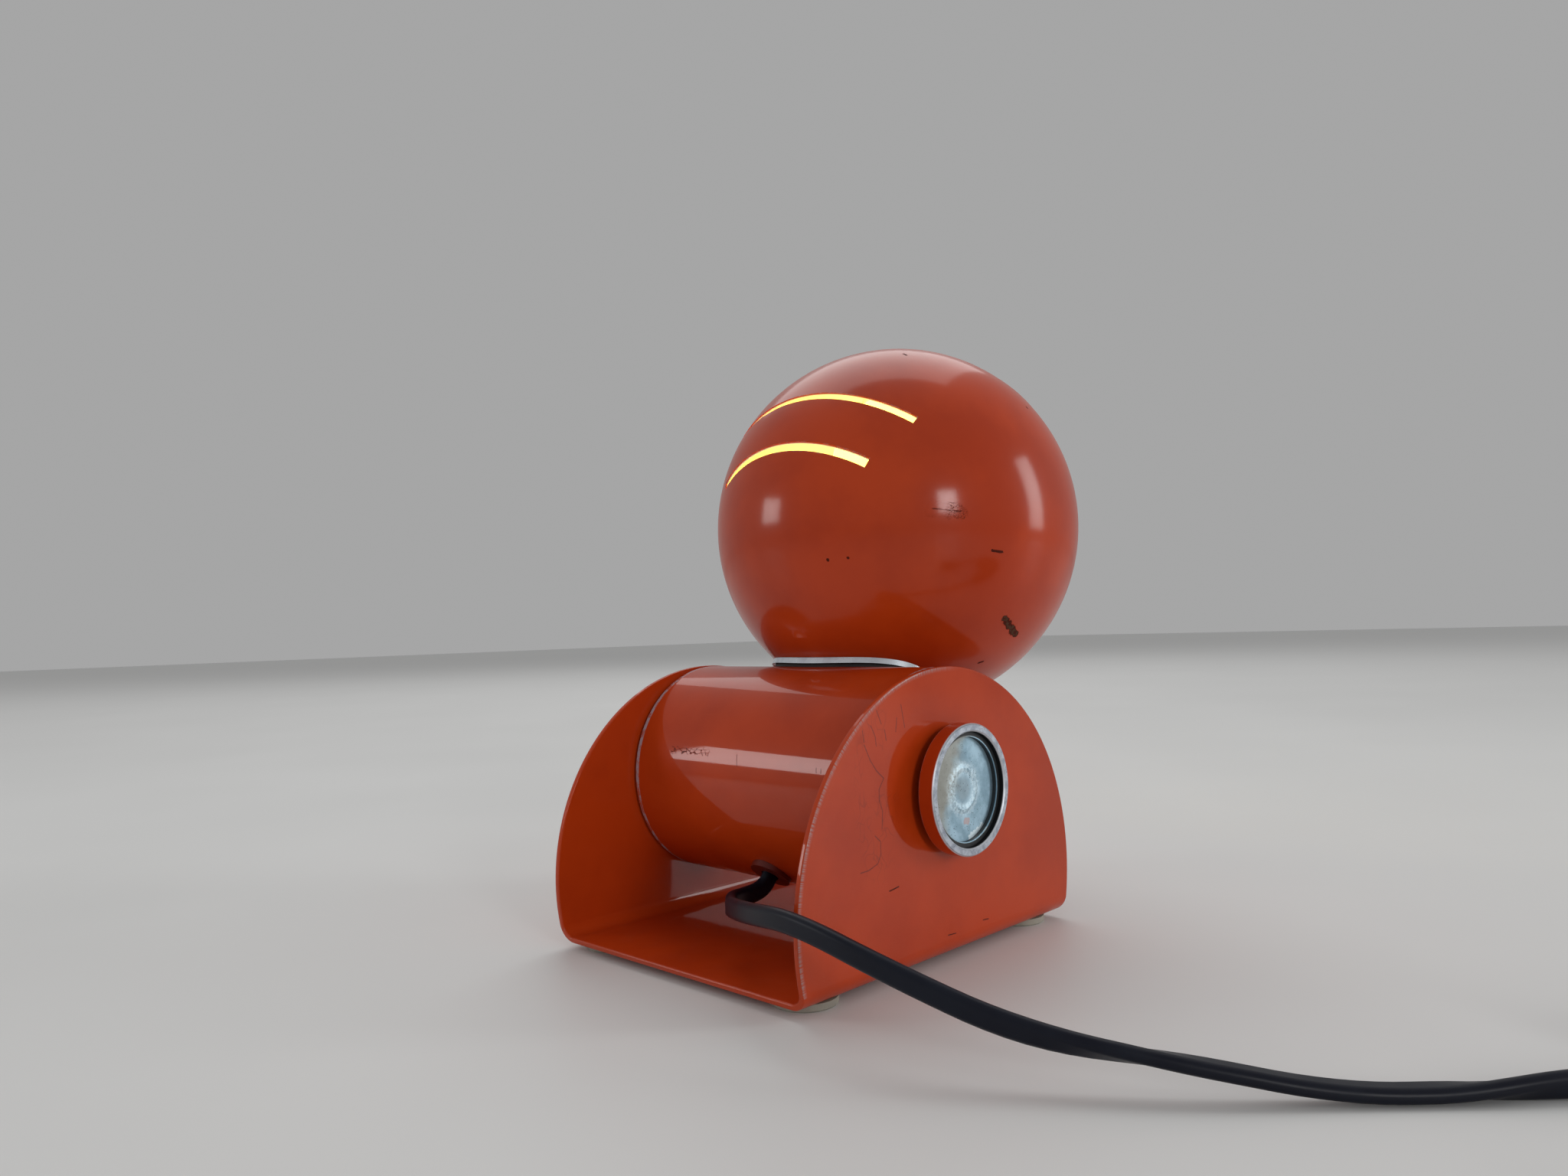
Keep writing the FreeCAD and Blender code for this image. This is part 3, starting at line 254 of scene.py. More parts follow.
def make_dust():
    """Dust that has settled where a piece faces up, and faint speckle all over."""
    tree, given, result = effect("settled_dust", [("Amount", "Float", 0.3)], [("Mask", "Float")])
    up = add_node(tree, "SeparateXYZ", (0, add_node(tree, "TexCoord").outputs["Normal"])).outputs["Z"]
    place = here(tree)
    lies = ramp_between(tree, up, 0.35, 1.0)
    cloud = ramp_between(tree, noise(tree, place, 160.0, 5.0, 0.65), 0.42, 0.75)
    specks = specks_in(tree, place, 900.0, 0.10, 0.22)
    both = plus(tree, times(tree, cloud, 0.6), times(tree, specks, 0.5))
    masked = sum_of(tree, "MULTIPLY", times(tree, both, lies), given["Amount"], clamp=True)
    fill(tree, result.inputs["Mask"], masked)
    return tree


def make_turned_rings():
    """Fine rings of a turned or spun metal face, about the barrel's axis."""
    tree, given, result = effect(
        "turned_rings", [("Spacing", "Float", 2500.0)], [("Rings", "Float"), ("Radius", "Float")]
    )
    parts = add_node(tree, "SeparateXYZ", (0, here(tree))).outputs
    up = less(tree, parts["Z"], BARREL_HEIGHT * MM)
    flat = add_node(tree, "CombineXYZ", ("X", parts["Y"]), ("Y", up)).outputs[0]
    radius = arrow(tree, "LENGTH", flat)
    along = add_node(tree, "CombineXYZ", ("X", radius)).outputs[0]
    fill(tree, result.inputs["Rings"], noise(tree, along, given["Spacing"], 3.0, 0.6))
    fill(tree, result.inputs["Radius"], radius)
    return tree


paint_stroke = make_paint_stroke()
hairlines = make_hairlines()
crazing = make_crazing()
worn_edge = make_worn_edge()
settled_dust = make_dust()
turned_rings = make_turned_rings()


def stroke(tree, start, end, width, ragged):
    """A paint stroke between two places, all in millimetres."""
    return use(tree, paint_stroke, From=metres(start), To=metres(end), Width=width * MM, Ragged=ragged)


# ---- finishes


def finish(name, **settings):
    """A material with one shader; settings are the shader's own even values."""
    made = bpy.data.materials.new(name)
    made.use_nodes = True
    tree = made.node_tree
    shader = tree.nodes["Principled BSDF"]
    for label, value in settings.items():
        shader.inputs[label.replace("_", " ")].default_value = value
    return made, tree, shader


def colour(tree, shader, value):
    fill(tree, shader.inputs["Base Color"], value)


def roughness(tree, shader, value):
    fill(tree, shader.inputs["Roughness"], value)


def bump(tree, shader, height, strength, depth=0.0002):
    made = add_node(tree, "Bump", ("Height", height), ("Strength", strength), ("Distance", depth))
    fill(tree, shader.inputs["Normal"], made.outputs[0])


LACQUER = (0.51, 0.048, 0.005, 1)
LACQUER_DEEP = (0.42, 0.036, 0.004, 1)
LACQUER_THIN = (0.58, 0.12, 0.035, 1)
BARE_EDGE = (0.36, 0.31, 0.31, 1)
UNDERCOAT = (0.012, 0.008, 0.007, 1)
RUST = (0.085, 0.046, 0.026, 1)
WHITE_INSIDE = (0.86, 0.84, 0.76, 1)
CRACKED = (0.10, 0.012, 0.006, 1)
BARE_BARREL = (0.42, 0.40, 0.46, 1)
LACQUER_DUST = (0.42, 0.36, 0.33, 1)
CLEAR_COAT = 0.5


def make_lacquer(name, gloss, top_gloss, edge, scratch, turn, marks):
    """Sprayed orange-red lacquer under a clear coat: rubbed edges, hairlines, dust and a fine orange peel.

    The marks of one piece are added by its own function, which takes and gives the colour, the roughness, the height
    for the bump and the weight of the coat.
    """
    made, tree, shader = finish(name, Specular_IOR_Level=0.06, Coat_Roughness=top_gloss, Coat_IOR=1.5)
    place = here(tree)
    shade = tint(tree, ramp_between(tree, noise(tree, place, 28.0, 4.0), 0.35, 0.68), LACQUER, LACQUER_DEEP)
    worn = use(tree, worn_edge, Reach=0.0006, Amount=edge)["Mask"]
    rubbed = use(tree, hairlines, Turn=[math.radians(a) for a in turn], Fineness=58.0, Amount=scratch)["Mask"]
    dust = use(tree, settled_dust, Amount=0.06)["Mask"]
    shade = tint(tree, times(tree, rubbed, 0.25), shade, LACQUER_THIN)
    shade = tint(tree, times(tree, worn, 0.75), shade, BARE_EDGE)
    shade = tint(tree, times(tree, dust, 0.4), shade, LACQUER_DUST)
    dull = plus(tree, gloss, times(tree, noise(tree, place, 75.0, 5.0, 0.6), 0.1))
    dull = plus(tree, dull, times(tree, plus(tree, rubbed, dust), 0.2))
    peel = noise(tree, place, 520.0, 2.0, 0.5)
    height = less(tree, times(tree, peel, 0.2), times(tree, plus(tree, rubbed, worn), 0.5))
    coat = less(tree, CLEAR_COAT, times(tree, plus(tree, worn, times(tree, rubbed, 0.6)), CLEAR_COAT))
    shade, dull, height, coat = marks(tree, shade, dull, height, coat)
    colour(tree, shader, shade)
    roughness(tree, shader, dull)
    fill(tree, shader.inputs["Coat Weight"], sum_of(tree, "MAXIMUM", coat, 0.0))
    bump(tree, shader, height, 0.2, 0.0001)
    return made


# Marks on the back of the head: two ends, half width and raggedness; the wide one has rust in the middle
RUSTY_FROM = 0.5
HEAD_CHIPS = [
    ((-49.71, -31.07, 94.12), (-47.67, -39.85, 89.15), 0.95, 1.0),
    ((-53.86, -19.52, 113.82), (-55.09, -22.78, 113.39), 0.34, 0.9),
    ((-38.74, -32.82, 80.82), (-39.54, -34.13, 81.23), 0.3, 0.8),
]
HEAD_DOTS = [
    ((-18.62, 12.32, 112.67), (-18.7, 12.3, 112.5), 0.36, 0.5),
    ((-24.44, 10.07, 112.9), (-24.5, 10.05, 112.8), 0.33, 0.5),
    ((-20.57, -24.3, 178.51), (-22.25, -23.64, 177.58), 0.3, 0.8),
    ((-48.41, -50.16, 160.2), (-48.4, -50.3, 160.0), 0.35, 0.6),
]
SCUFF = ((-44.95, -3.53, 125.95), (-49.87, -9.92, 124.96))
SHELL_INSIDE, SHELL_OUTSIDE = 59.45, 59.7


def head_marks(tree, shade, dull, height, coat):
    """White inside of the shade; chips, dots and one crazed scuff on its outside."""
    place = here(tree)
    for start, end, width, ragged in HEAD_CHIPS + HEAD_DOTS:
        got = stroke(tree, start, end, width, ragged)
        shade = tint(tree, times(tree, got["Ring"], 0.85), shade, UNDERCOAT)
        if width > RUSTY_FROM:
            core = times(tree, got["Mask"], ramp_between(tree, noise(tree, place, 900.0, 4.0, 0.7), 0.42, 0.56))
            shade = tint(tree, core, shade, RUST)
        dull = plus(tree, dull, times(tree, got["Ring"], 0.3))
        height = less(tree, height, times(tree, got["Ring"], 1.2))
        coat = less(tree, coat, got["Ring"])
    patch = stroke(tree, *SCUFF, 2.6, 0.8)["Mask"]
    cracks = use(tree, crazing, Stretch=(1, 1, 1.6), Cells=1300.0, Width=0.09, Wander=0.0015)["Mask"]
    line = stroke(tree, *SCUFF, 0.16, 3.0)["Mask"]
    broken = sum_of(tree, "MAXIMUM", times(tree, patch, cracks), line)
    shade = tint(tree, times(tree, broken, 0.8), shade, UNDERCOAT)
    dull = plus(tree, dull, times(tree, patch, 0.12))
    height = less(tree, height, times(tree, broken, 6.0))
    height = plus(tree, height, times(tree, times(tree, patch, noise(tree, place, 1500.0, 3.0, 0.6)), 5.0))
    coat = less(tree, coat, times(tree, broken, 0.8))
    radius = arrow(tree, "DISTANCE", place, metres(HEAD_CENTRE))
    inside = ramp_between(tree, radius, SHELL_INSIDE * MM, SHELL_OUTSIDE * MM, 1.0, 0.0)
    shade = tint(tree, inside, shade, WHITE_INSIDE)
    dull = plus(tree, dull, times(tree, inside, 0.25))
    coat = less(tree, coat, inside)
    return shade, dull, height, coat


CHEEK_SCRATCHES = [
    ((-CHEEK_FACE, 27.27, 24.84), (-CHEEK_FACE, 23.44, 25.29), 0.2, 0.8),
    ((-CHEEK_FACE, 2.6, 8.2), (-CHEEK_FACE, -0.9, 8.0), 0.16, 1.2),
    ((-CHEEK_FACE, -14.2, 8.8), (-CHEEK_FACE, -16.9, 8.6), 0.16, 1.2),
]
CRACK_WIDTH, CRACK_RAGGED = 0.17, 0.9
# The crazed patch beside the knob: its middle, and one over its reach across and up, in metres
CRAZED_MIDDLE = (-CHEEK_FACE, 31.5, 51.0)
CRAZED_REACH = (0, 1 / 0.0095, 1 / 0.026)
RUBBED_RIM = 60.3, 61.7
# Cracks beside the knob, as places across and up the cheek
CHEEK_CRACKS = [
    [(32.7, 67.6), (31.1, 64.8), (30.8, 62.3)],
    [(35.6, 63.1), (33.4, 59.0), (31.0, 56.0), (28.2, 53.8)],
    [(28.2, 53.8), (30.2, 51.2), (30.3, 48.4), (29.1, 45.6), (29.5, 41.1)],
    [(32.4, 39.7), (30.3, 38.0), (30.3, 34.8), (31.6, 32.6), (35.3, 31.5), (38.5, 31.4)],
    [(22.0, 68.9), (22.6, 65.3)],
    [(20.1, 72.2), (18.8, 66.1)],
    [(27.2, 66.2), (26.7, 63.4)],
    [(36.1, 66.7), (35.6, 63.7)],
    [(30.2, 71.3), (28.5, 67.8)],
]


def cheek_marks(tree, shade, dull, height, coat):
    """Cracks in the lacquer beside the knob, a few scratches, and a rim that hands have rubbed."""
    place = here(tree)
    parts = add_node(tree, "SeparateXYZ", (0, place)).outputs
    outer = ramp_between(tree, parts["X"], -(CHEEK_FACE - 0.05) * MM, -(CHEEK_FACE - 0.2) * MM, 1.0, 0.0)
    for scratch in CHEEK_SCRATCHES:
        got = stroke(tree, *scratch)["Mask"]
        shade = tint(tree, times(tree, got, 0.85), shade, UNDERCOAT)
        coat = less(tree, coat, got)
    beside = arrow(tree, "MULTIPLY", arrow(tree, "SUBTRACT", place, metres(CRAZED_MIDDLE)), CRAZED_REACH)
    region = times(tree, ramp_between(tree, arrow(tree, "LENGTH", beside), 0.65, 1.05, 1.0, 0.0), outer)
    cracks = use(tree, crazing, Stretch=(1, 1, 0.3), Cells=420.0, Width=0.07, Wander=0.008)["Mask"]
    cracks = times(tree, times(tree, cracks, region), 0.4)
    for line in CHEEK_CRACKS:
        on_cheek = [(-CHEEK_FACE, *place) for place in line]
        for ends in zip(on_cheek, on_cheek[1:]):
            got = stroke(tree, *ends, CRACK_WIDTH, CRACK_RAGGED)["Mask"]
            cracks = sum_of(tree, "MAXIMUM", cracks, got)
    shade = tint(tree, times(tree, cracks, 0.75), shade, CRACKED)
    height = less(tree, height, times(tree, cracks, 0.8))
    up = less(tree, parts["Z"], CHEEK_CENTRE_HEIGHT * MM)
    radius = arrow(tree, "LENGTH", add_node(tree, "CombineXYZ", ("X", parts["Y"]), ("Y", up)).outputs[0])
    angle = sum_of(tree, "ARCTAN2", up, parts["Y"])
    strokes = noise(tree, add_node(tree, "CombineXYZ", ("X", angle)).outputs[0], 130.0, 3.0, 0.7)
    band = ramp_between(tree, radius, RUBBED_RIM[0] * MM, RUBBED_RIM[1] * MM)
    band = times(tree, band, ramp_between(tree, strokes, 0.38, 0.6))
    band = times(tree, times(tree, band, outer), ramp_between(tree, parts["Y"], -8 * MM, 6 * MM))
    shade = tint(tree, times(tree, band, 0.8), shade, BARE_EDGE)
    dull = plus(tree, dull, times(tree, band, 0.15))
    return shade, dull, height, coat


BARREL_END = 45.2, 45.6
CRAZED_END = ((30.0, 31.8, 57.0), (13.0, 31.8, 57.2), 1.1, 0.8)
BARREL_TICKS = [
    ((1.35, 31.77, 57.14), (0.69, 32.52, 53.98), 0.1, 0.6),
    ((-29.94, 32.18, 55.57), (-30.15, 32.47, 54.2), 0.1, 0.8),
    ((-31.61, 32.2, 55.49), (-31.82, 32.49, 54.11), 0.1, 0.8),
]


def barrel_marks(tree, shade, dull, height, coat):
    """Bare metal along both ends of the barrel, hair cracks across it and a crazed patch at its far end."""
    place = here(tree)
    along = sum_of(tree, "ABSOLUTE", add_node(tree, "SeparateXYZ", (0, place)).outputs["X"])
    bare = ramp_between(tree, along, BARREL_END[0] * MM, BARREL_END[1] * MM)
    bare = times(tree, bare, ramp_between(tree, noise(tree, place, 330.0, 4.0, 0.7), 0.4, 0.55))
    shade = tint(tree, times(tree, bare, 0.8), shade, BARE_BARREL)
    coat = less(tree, coat, times(tree, bare, 0.4))
    cracks = use(tree, crazing, Stretch=(0.5, 1, 1), Cells=900.0, Width=0.07, Wander=0.002)["Mask"]
    broken = times(tree, stroke(tree, *CRAZED_END)["Mask"], cracks)
    for tick in BARREL_TICKS:
        broken = sum_of(tree, "MAXIMUM", broken, stroke(tree, *tick)["Mask"])
    shade = tint(tree, times(tree, broken, 0.85), shade, UNDERCOAT)
    return shade, dull, less(tree, height, broken), less(tree, coat, broken)


KNOB_METAL = (0.50, 0.54, 0.60, 1), (0.30, 0.33, 0.39, 1)
KNOB_PAINTED_HIGHLIGHT = (0.78, 0.8, 0.84, 1)
KNOB_PIT = (0.05, 0.05, 0.055, 1)
KNOB_BORE_SHADE = (0.012, 0.012, 0.013, 1)
# Radii: where the bore's painted shade turns to rim, and the two painted highlights along the rim's edges
KNOB_BORE_EDGE = 15.75, 15.95
KNOB_HIGHLIGHT_EDGES = (15.9, 16.15), (17.75, 17.5)


def knob_rim(tree, shade, dull, height, coat):
    """The knob's front rim is bare, mottled metal with a painted highlight along both edges; its bore is painted near
    black as shade.
    """
    place = here(tree)
    parts = add_node(tree, "SeparateXYZ", (0, place)).outputs
    rings = use(tree, turned_rings, Spacing=2600.0)
    front = ramp_between(tree, parts["X"], -(KNOB_FRONT - 0.55) * MM, -(KNOB_FRONT - 0.2) * MM)
    # The bore is painted near black as shade
    bore_shade = ramp_between(tree, rings["Radius"], KNOB_BORE_EDGE[0] * MM, KNOB_BORE_EDGE[1] * MM, 1.0, 0.0)
    mottle = ramp_between(tree, noise(tree, place, 420.0, 5.0, 0.7), 0.38, 0.62)
    metal = tint(tree, mottle, *KNOB_METAL)
    pits = specks_in(tree, place, 1500.0, 0.12, 0.26)
    pits = times(tree, pits, ramp_between(tree, noise(tree, place, 170.0), 0.5, 0.62))
    metal = tint(tree, times(tree, pits, 0.8), metal, KNOB_PIT)
    # Painted highlights: a pale band along each edge of the rim
    for low, high in KNOB_HIGHLIGHT_EDGES:
        edge = ramp_between(tree, rings["Radius"], low * MM, high * MM, 0.75, 0.0)
        metal = tint(tree, edge, metal, KNOB_PAINTED_HIGHLIGHT)
    shade = tint(tree, bore_shade, shade, KNOB_BORE_SHADE)
    shade = tint(tree, front, shade, metal)
    dull = plus(tree, dull, times(tree, bore_shade, 0.2))
    height = less(tree, height, times(tree, times(tree, pits, front), 1.5))
    fill(tree, tree.nodes["Principled BSDF"].inputs["Metallic"], front)
    return shade, dull, height, less(tree, coat, plus(tree, front, bore_shade))


RUBBED_METAL = (0.85, 0.85, 0.85, 1)


def make_metal(name, base, dark, gloss):
    """Plated or plain metal with a cloudy tarnish and fine rubbing."""
    made, tree, shader = finish(name, Metallic=1.0)
    place = here(tree)
    cloud = ramp_between(tree, noise(tree, place, 120.0, 5.0, 0.6), 0.4, 0.7)
    rubbed = use(tree, hairlines, Turn=(0.3, 0.2, 0.5), Fineness=110.0, Amount=0.6)["Mask"]
    shade = tint(tree, cloud, base, dark)
    colour(tree, shader, tint(tree, times(tree, rubbed, 0.3), shade, RUBBED_METAL))
    fine = noise(tree, arrow(tree, "MULTIPLY", place, (1, 1, 6)), 700.0, 3.0, 0.6)
    dull = plus(tree, plus(tree, gloss, times(tree, cloud, 0.16)), times(tree, rubbed, 0.1))
    roughness(tree, shader, dull)
    bump(tree, shader, less(tree, times(tree, fine, 0.4), rubbed), 0.08, 0.0001)
    return made


PIN_BRASS = (0.74, 0.55, 0.25, 1), (0.56, 0.39, 0.16, 1)
PIN_SLEEVE = (0.02, 0.02, 0.021, 1)
SLEEVE_END = 66.8, 67.0


def make_sleeved_pins():
    """Plug pins: bright brass at their ends, black sleeves next to the plug."""
    made, tree, shader = finish("sleeved_brass")
    place = here(tree)
    along = arrow(tree, "DOT_PRODUCT", arrow(tree, "SUBTRACT", place, metres(PLUG_START)), PLUG_WAY)
    sleeve = ramp_between(tree, along, SLEEVE_END[0] * MM, SLEEVE_END[1] * MM, 1.0, 0.0)
    cloud = noise(tree, place, 260.0, 4.0, 0.6)
    colour(tree, shader, tint(tree, sleeve, tint(tree, cloud, *PIN_BRASS), PIN_SLEEVE))
    fill(tree, shader.inputs["Metallic"], less(tree, 1.0, sleeve))
    roughness(tree, shader, plus(tree, plus(tree, 0.2, times(tree, sleeve, 0.2)), times(tree, cloud, 0.15)))
    bump(tree, shader, plus(tree, sleeve, times(tree, noise(tree, place, 1400.0), 0.1)), 0.3, 0.0002)
    return made


DISC_FACE = 54.6
ZINC = (0.44, 0.62, 0.73, 1), (0.28, 0.42, 0.51, 1)
ZINC_STRAW = (0.34, 0.30, 0.23, 1)
ZINC_PAINTED_HIGHLIGHT = (0.8, 0.94, 1.0, 1)
ZINC_MIDDLE_SHADE = (0.27, 0.31, 0.33, 1)
ZINC_PIT = (0.07, 0.08, 0.085, 1)
ZINC_LEDGE_SHADE = (0.012, 0.014, 0.016, 1)
# Two spots on the disc, a reddish residue and a painted highlight low on it: two ends, half width, raggedness,
# strength and colour
DISC_RESIDUE_AND_HIGHLIGHT = [
    ((-DISC_FACE, -0.4, 39.2), (-DISC_FACE, -1.6, 39.0), 0.9, 0.7, 0.6, (0.6, 0.36, 0.32, 1)),
    ((-DISC_FACE, -9.0, 36.4), (-DISC_FACE, -2.7, 34.3), 1.3, 1.2, 0.8, (0.86, 0.96, 1.0, 1)),
]


def make_zinc_disc():
    """Dull zinc-plated disc: straw stain on one side, a pale pitted painted highlight on its ridge round a middle
    painted darker as shade, and a ledge round it painted dark as shade.
    """
    made, tree, shader = finish("zinc_disc")
    place = here(tree)
    parts = add_node(tree, "SeparateXYZ", (0, place)).outputs
    rings = use(tree, turned_rings, Spacing=1300.0)
    radius = rings["Radius"]
    blotch = ramp_between(tree, noise(tree, place, 150.0, 5.0, 0.65), 0.36, 0.66)
    shade = tint(tree, blotch, *ZINC)
    lean = plus(tree, parts["Y"], times(tree, less(tree, parts["Z"], BARREL_HEIGHT * MM), 0.45))
    lean = plus(tree, lean, times(tree, less(tree, noise(tree, place, 110.0, 4.0), 0.5), 0.012))
    straw = ramp_between(tree, lean, 1.5 * MM, 8.0 * MM)
    shade = tint(tree, times(tree, straw, 0.75), shade, ZINC_STRAW)
    # A pale pitted ring painted on the ridge as a highlight
    painted_halo = ramp_between(tree, radius, 3.2 * MM, 5.0 * MM)
    painted_halo = times(tree, painted_halo, ramp_between(tree, radius, 5.8 * MM, 8.6 * MM, 1.0, 0.0))
    painted_halo = times(tree, painted_halo, ramp_between(tree, noise(tree, place, 1100.0, 3.0, 0.7), 0.34, 0.62))
    shade = tint(tree, times(tree, painted_halo, 0.85), shade, ZINC_PAINTED_HIGHLIGHT)
    # The middle inside that ring is painted darker as shade
    middle_shade = ramp_between(tree, radius, 2.0 * MM, 4.4 * MM, 1.0, 0.0)
    shade = tint(tree, times(tree, middle_shade, 0.5), shade, ZINC_MIDDLE_SHADE)
    pits = specks_in(tree, place, 1300.0, 0.10, 0.24)
    pits = times(tree, pits, ramp_between(tree, noise(tree, place, 130.0), 0.46, 0.6))
    shade = tint(tree, times(tree, pits, 0.85), shade, ZINC_PIT)
    # The first spot is a reddish residue; the second is a painted highlight
    for start, end, width, ragged, strength, spot in DISC_RESIDUE_AND_HIGHLIGHT:
        shade = tint(tree, times(tree, stroke(tree, start, end, width, ragged)["Mask"], strength), shade, spot)
    # The ledge and the wall round the disc are painted near black as shade; dark holds both
    ledge_shade = ramp_between(tree, radius, 14.35 * MM, 14.5 * MM)
    wall_shade = ramp_between(tree, radius, 14.1 * MM, 14.18 * MM)
    wall_shade = times(tree, wall_shade, ramp_between(tree, parts["X"], -55.8 * MM, -55.7 * MM))
    dark = sum_of(tree, "MAXIMUM", ledge_shade, wall_shade)
    colour(tree, shader, tint(tree, dark, shade, ZINC_LEDGE_SHADE))
    fill(tree, shader.inputs["Metallic"], less(tree, 0.9, times(tree, dark, 0.9)))
    dull = plus(tree, plus(tree, 0.46, times(tree, blotch, 0.12)), times(tree, painted_halo, 0.18))
    roughness(tree, shader, dull)
    height = plus(tree, times(tree, rings["Rings"], 0.35), times(tree, blotch, 0.3))
    bump(tree, shader, less(tree, height, times(tree, pits, 1.2)), 0.25, 0.0001)
    return made


PLASTIC_DUST = (0.34, 0.32, 0.3, 1)


def make_plastic(name, base, second, gloss, grain=1500.0, depth=0.15, dusty=0.2, shine=0.4):
    """Moulded plastic, rubber or fibre: fine grain, cloudy tone and a little dust."""
    made, tree, shader = finish(name, Specular_IOR_Level=shine)
    place = here(tree)
    cloud = ramp_between(tree, noise(tree, place, 70.0, 4.0, 0.6), 0.35, 0.7)
    fine = noise(tree, place, grain, 3.0, 0.6)
    dust = use(tree, settled_dust, Amount=dusty)["Mask"]
    shade = tint(tree, cloud, base, second)
    colour(tree, shader, tint(tree, times(tree, dust, 0.4), shade, PLASTIC_DUST))
    dull = plus(tree, gloss, times(tree, cloud, 0.12))
    roughness(tree, shader, plus(tree, dull, times(tree, dust, 0.35)))
    bump(tree, shader, fine, depth, 0.0001)
    return made


OPAL = (0.95, 0.9, 0.8, 1), (0.9, 0.84, 0.72, 1)
OPAL_GLOW = (1.0, 0.60, 0.075, 1), (1.0, 0.64, 0.09, 1)


def make_opal_bulb():
    """Lit opal glass, warm, a little uneven."""
    made, tree, shader = finish("opal_bulb", Roughness=0.25, Emission_Strength=5.0)
    place = here(tree)
    cloud = ramp_between(tree, noise(tree, place, 60.0, 3.0), 0.3, 0.7)
    colour(tree, shader, tint(tree, cloud, *OPAL))
    fill(tree, shader.inputs["Emission Color"], tint(tree, cloud, *OPAL_GLOW))
    bump(tree, shader, noise(tree, place, 300.0), 0.03, 0.0001)
    return made


PALE_FLOOR = (0.70, 0.70, 0.69, 1), (0.74, 0.74, 0.73, 1)


def make_floor_finish():
    """Plain, pale and satin, with hardly any cloud in it."""
    made, tree, shader = finish("pale_floor", Specular_IOR_Level=0.4)
    place = here(tree)
    cloud = noise(tree, place, 6.0, 4.0)
    fine = noise(tree, place, 700.0, 3.0, 0.6)
    colour(tree, shader, tint(tree, cloud, *PALE_FLOOR))
    roughness(tree, shader, ramp_between(tree, cloud, 0.2, 0.8, 0.46, 0.54))
    bump(tree, shader, fine, 0.05, 0.0002)
    return made


# Each lacquer: its own roughness and its coat's, edge wear, hairlines and their turn in degrees, and its marks
LACQUERS = {
    "barrel_lacquer": (0.34, 0.05, 0.8, 0.3, (0, 0, 0), barrel_marks),
    "head_lacquer": (0.36, 0.14, 0.1, 0.2, (20, 35, 10), head_marks),
    "cheek_lacquer": (0.4, 0.045, 0.58, 0.5, (75, 0, 0), cheek_marks),
    "knob_lacquer": (0.34, 0.1, 0.5, 0.3, (0, 40, 0), knob_rim),
}
# Each metal: its colour, its tarnish and its roughness
METALS = {
    "chrome": ((0.82, 0.88, 0.94, 1), (0.62, 0.68, 0.74, 1), 0.26),
    "plain_steel": ((0.46, 0.46, 0.47, 1), (0.3, 0.29, 0.28, 1), 0.28),
    "plain_brass": ((0.72, 0.52, 0.22, 1), (0.5, 0.34, 0.13, 1), 0.24),
}
# Each plastic or rubber: its two colours and its roughness, then its grain, the grain's depth, dust and shine
PLASTICS = {
    "black_rubber": ((0.018, 0.018, 0.019, 1), (0.028, 0.027, 0.026, 1), 0.5),
    "red_rubber": ((0.15, 0.013, 0.005, 1), (0.10, 0.010, 0.004, 1), 0.4),
    "dark_fibre": ((0.05, 0.042, 0.036, 1), (0.075, 0.06, 0.05, 1), 0.65, 900.0, 0.3),
    "foot_rubber": ((0.36, 0.34, 0.28, 1), (0.28, 0.26, 0.22, 1), 0.5),
    "navy_flex": ((0.003, 0.004, 0.011, 1), (0.005, 0.007, 0.015, 1), 0.36, 800.0, 0.06, 0.04, 0.22),
    "black_phenolic": ((0.03, 0.026, 0.023, 1), (0.05, 0.04, 0.034, 1), 0.25),
    "cream_ceramic": ((0.78, 0.74, 0.66, 1), (0.7, 0.66, 0.58, 1), 0.2, 600.0, 0.05),
    "white_plastic": ((0.74, 0.72, 0.66, 1), (0.66, 0.63, 0.56, 1), 0.4),
    "black_switch": ((0.016, 0.016, 0.018, 1), (0.024, 0.024, 0.026, 1), 0.3, 2200.0, 0.1),
    "black_band": ((0.025, 0.025, 0.026, 1), (0.04, 0.038, 0.036, 1), 0.5, 1200.0, 0.3),
}
finishes = {"zinc_disc": make_zinc_disc(), "sleeved_brass": make_sleeved_pins(), "opal_bulb": make_opal_bulb()}
for maker, kinds in ((make_lacquer, LACQUERS), (make_metal, METALS), (make_plastic, PLASTICS)):
    for name, settings in kinds.items():
        finishes[name] = maker(name, *settings)

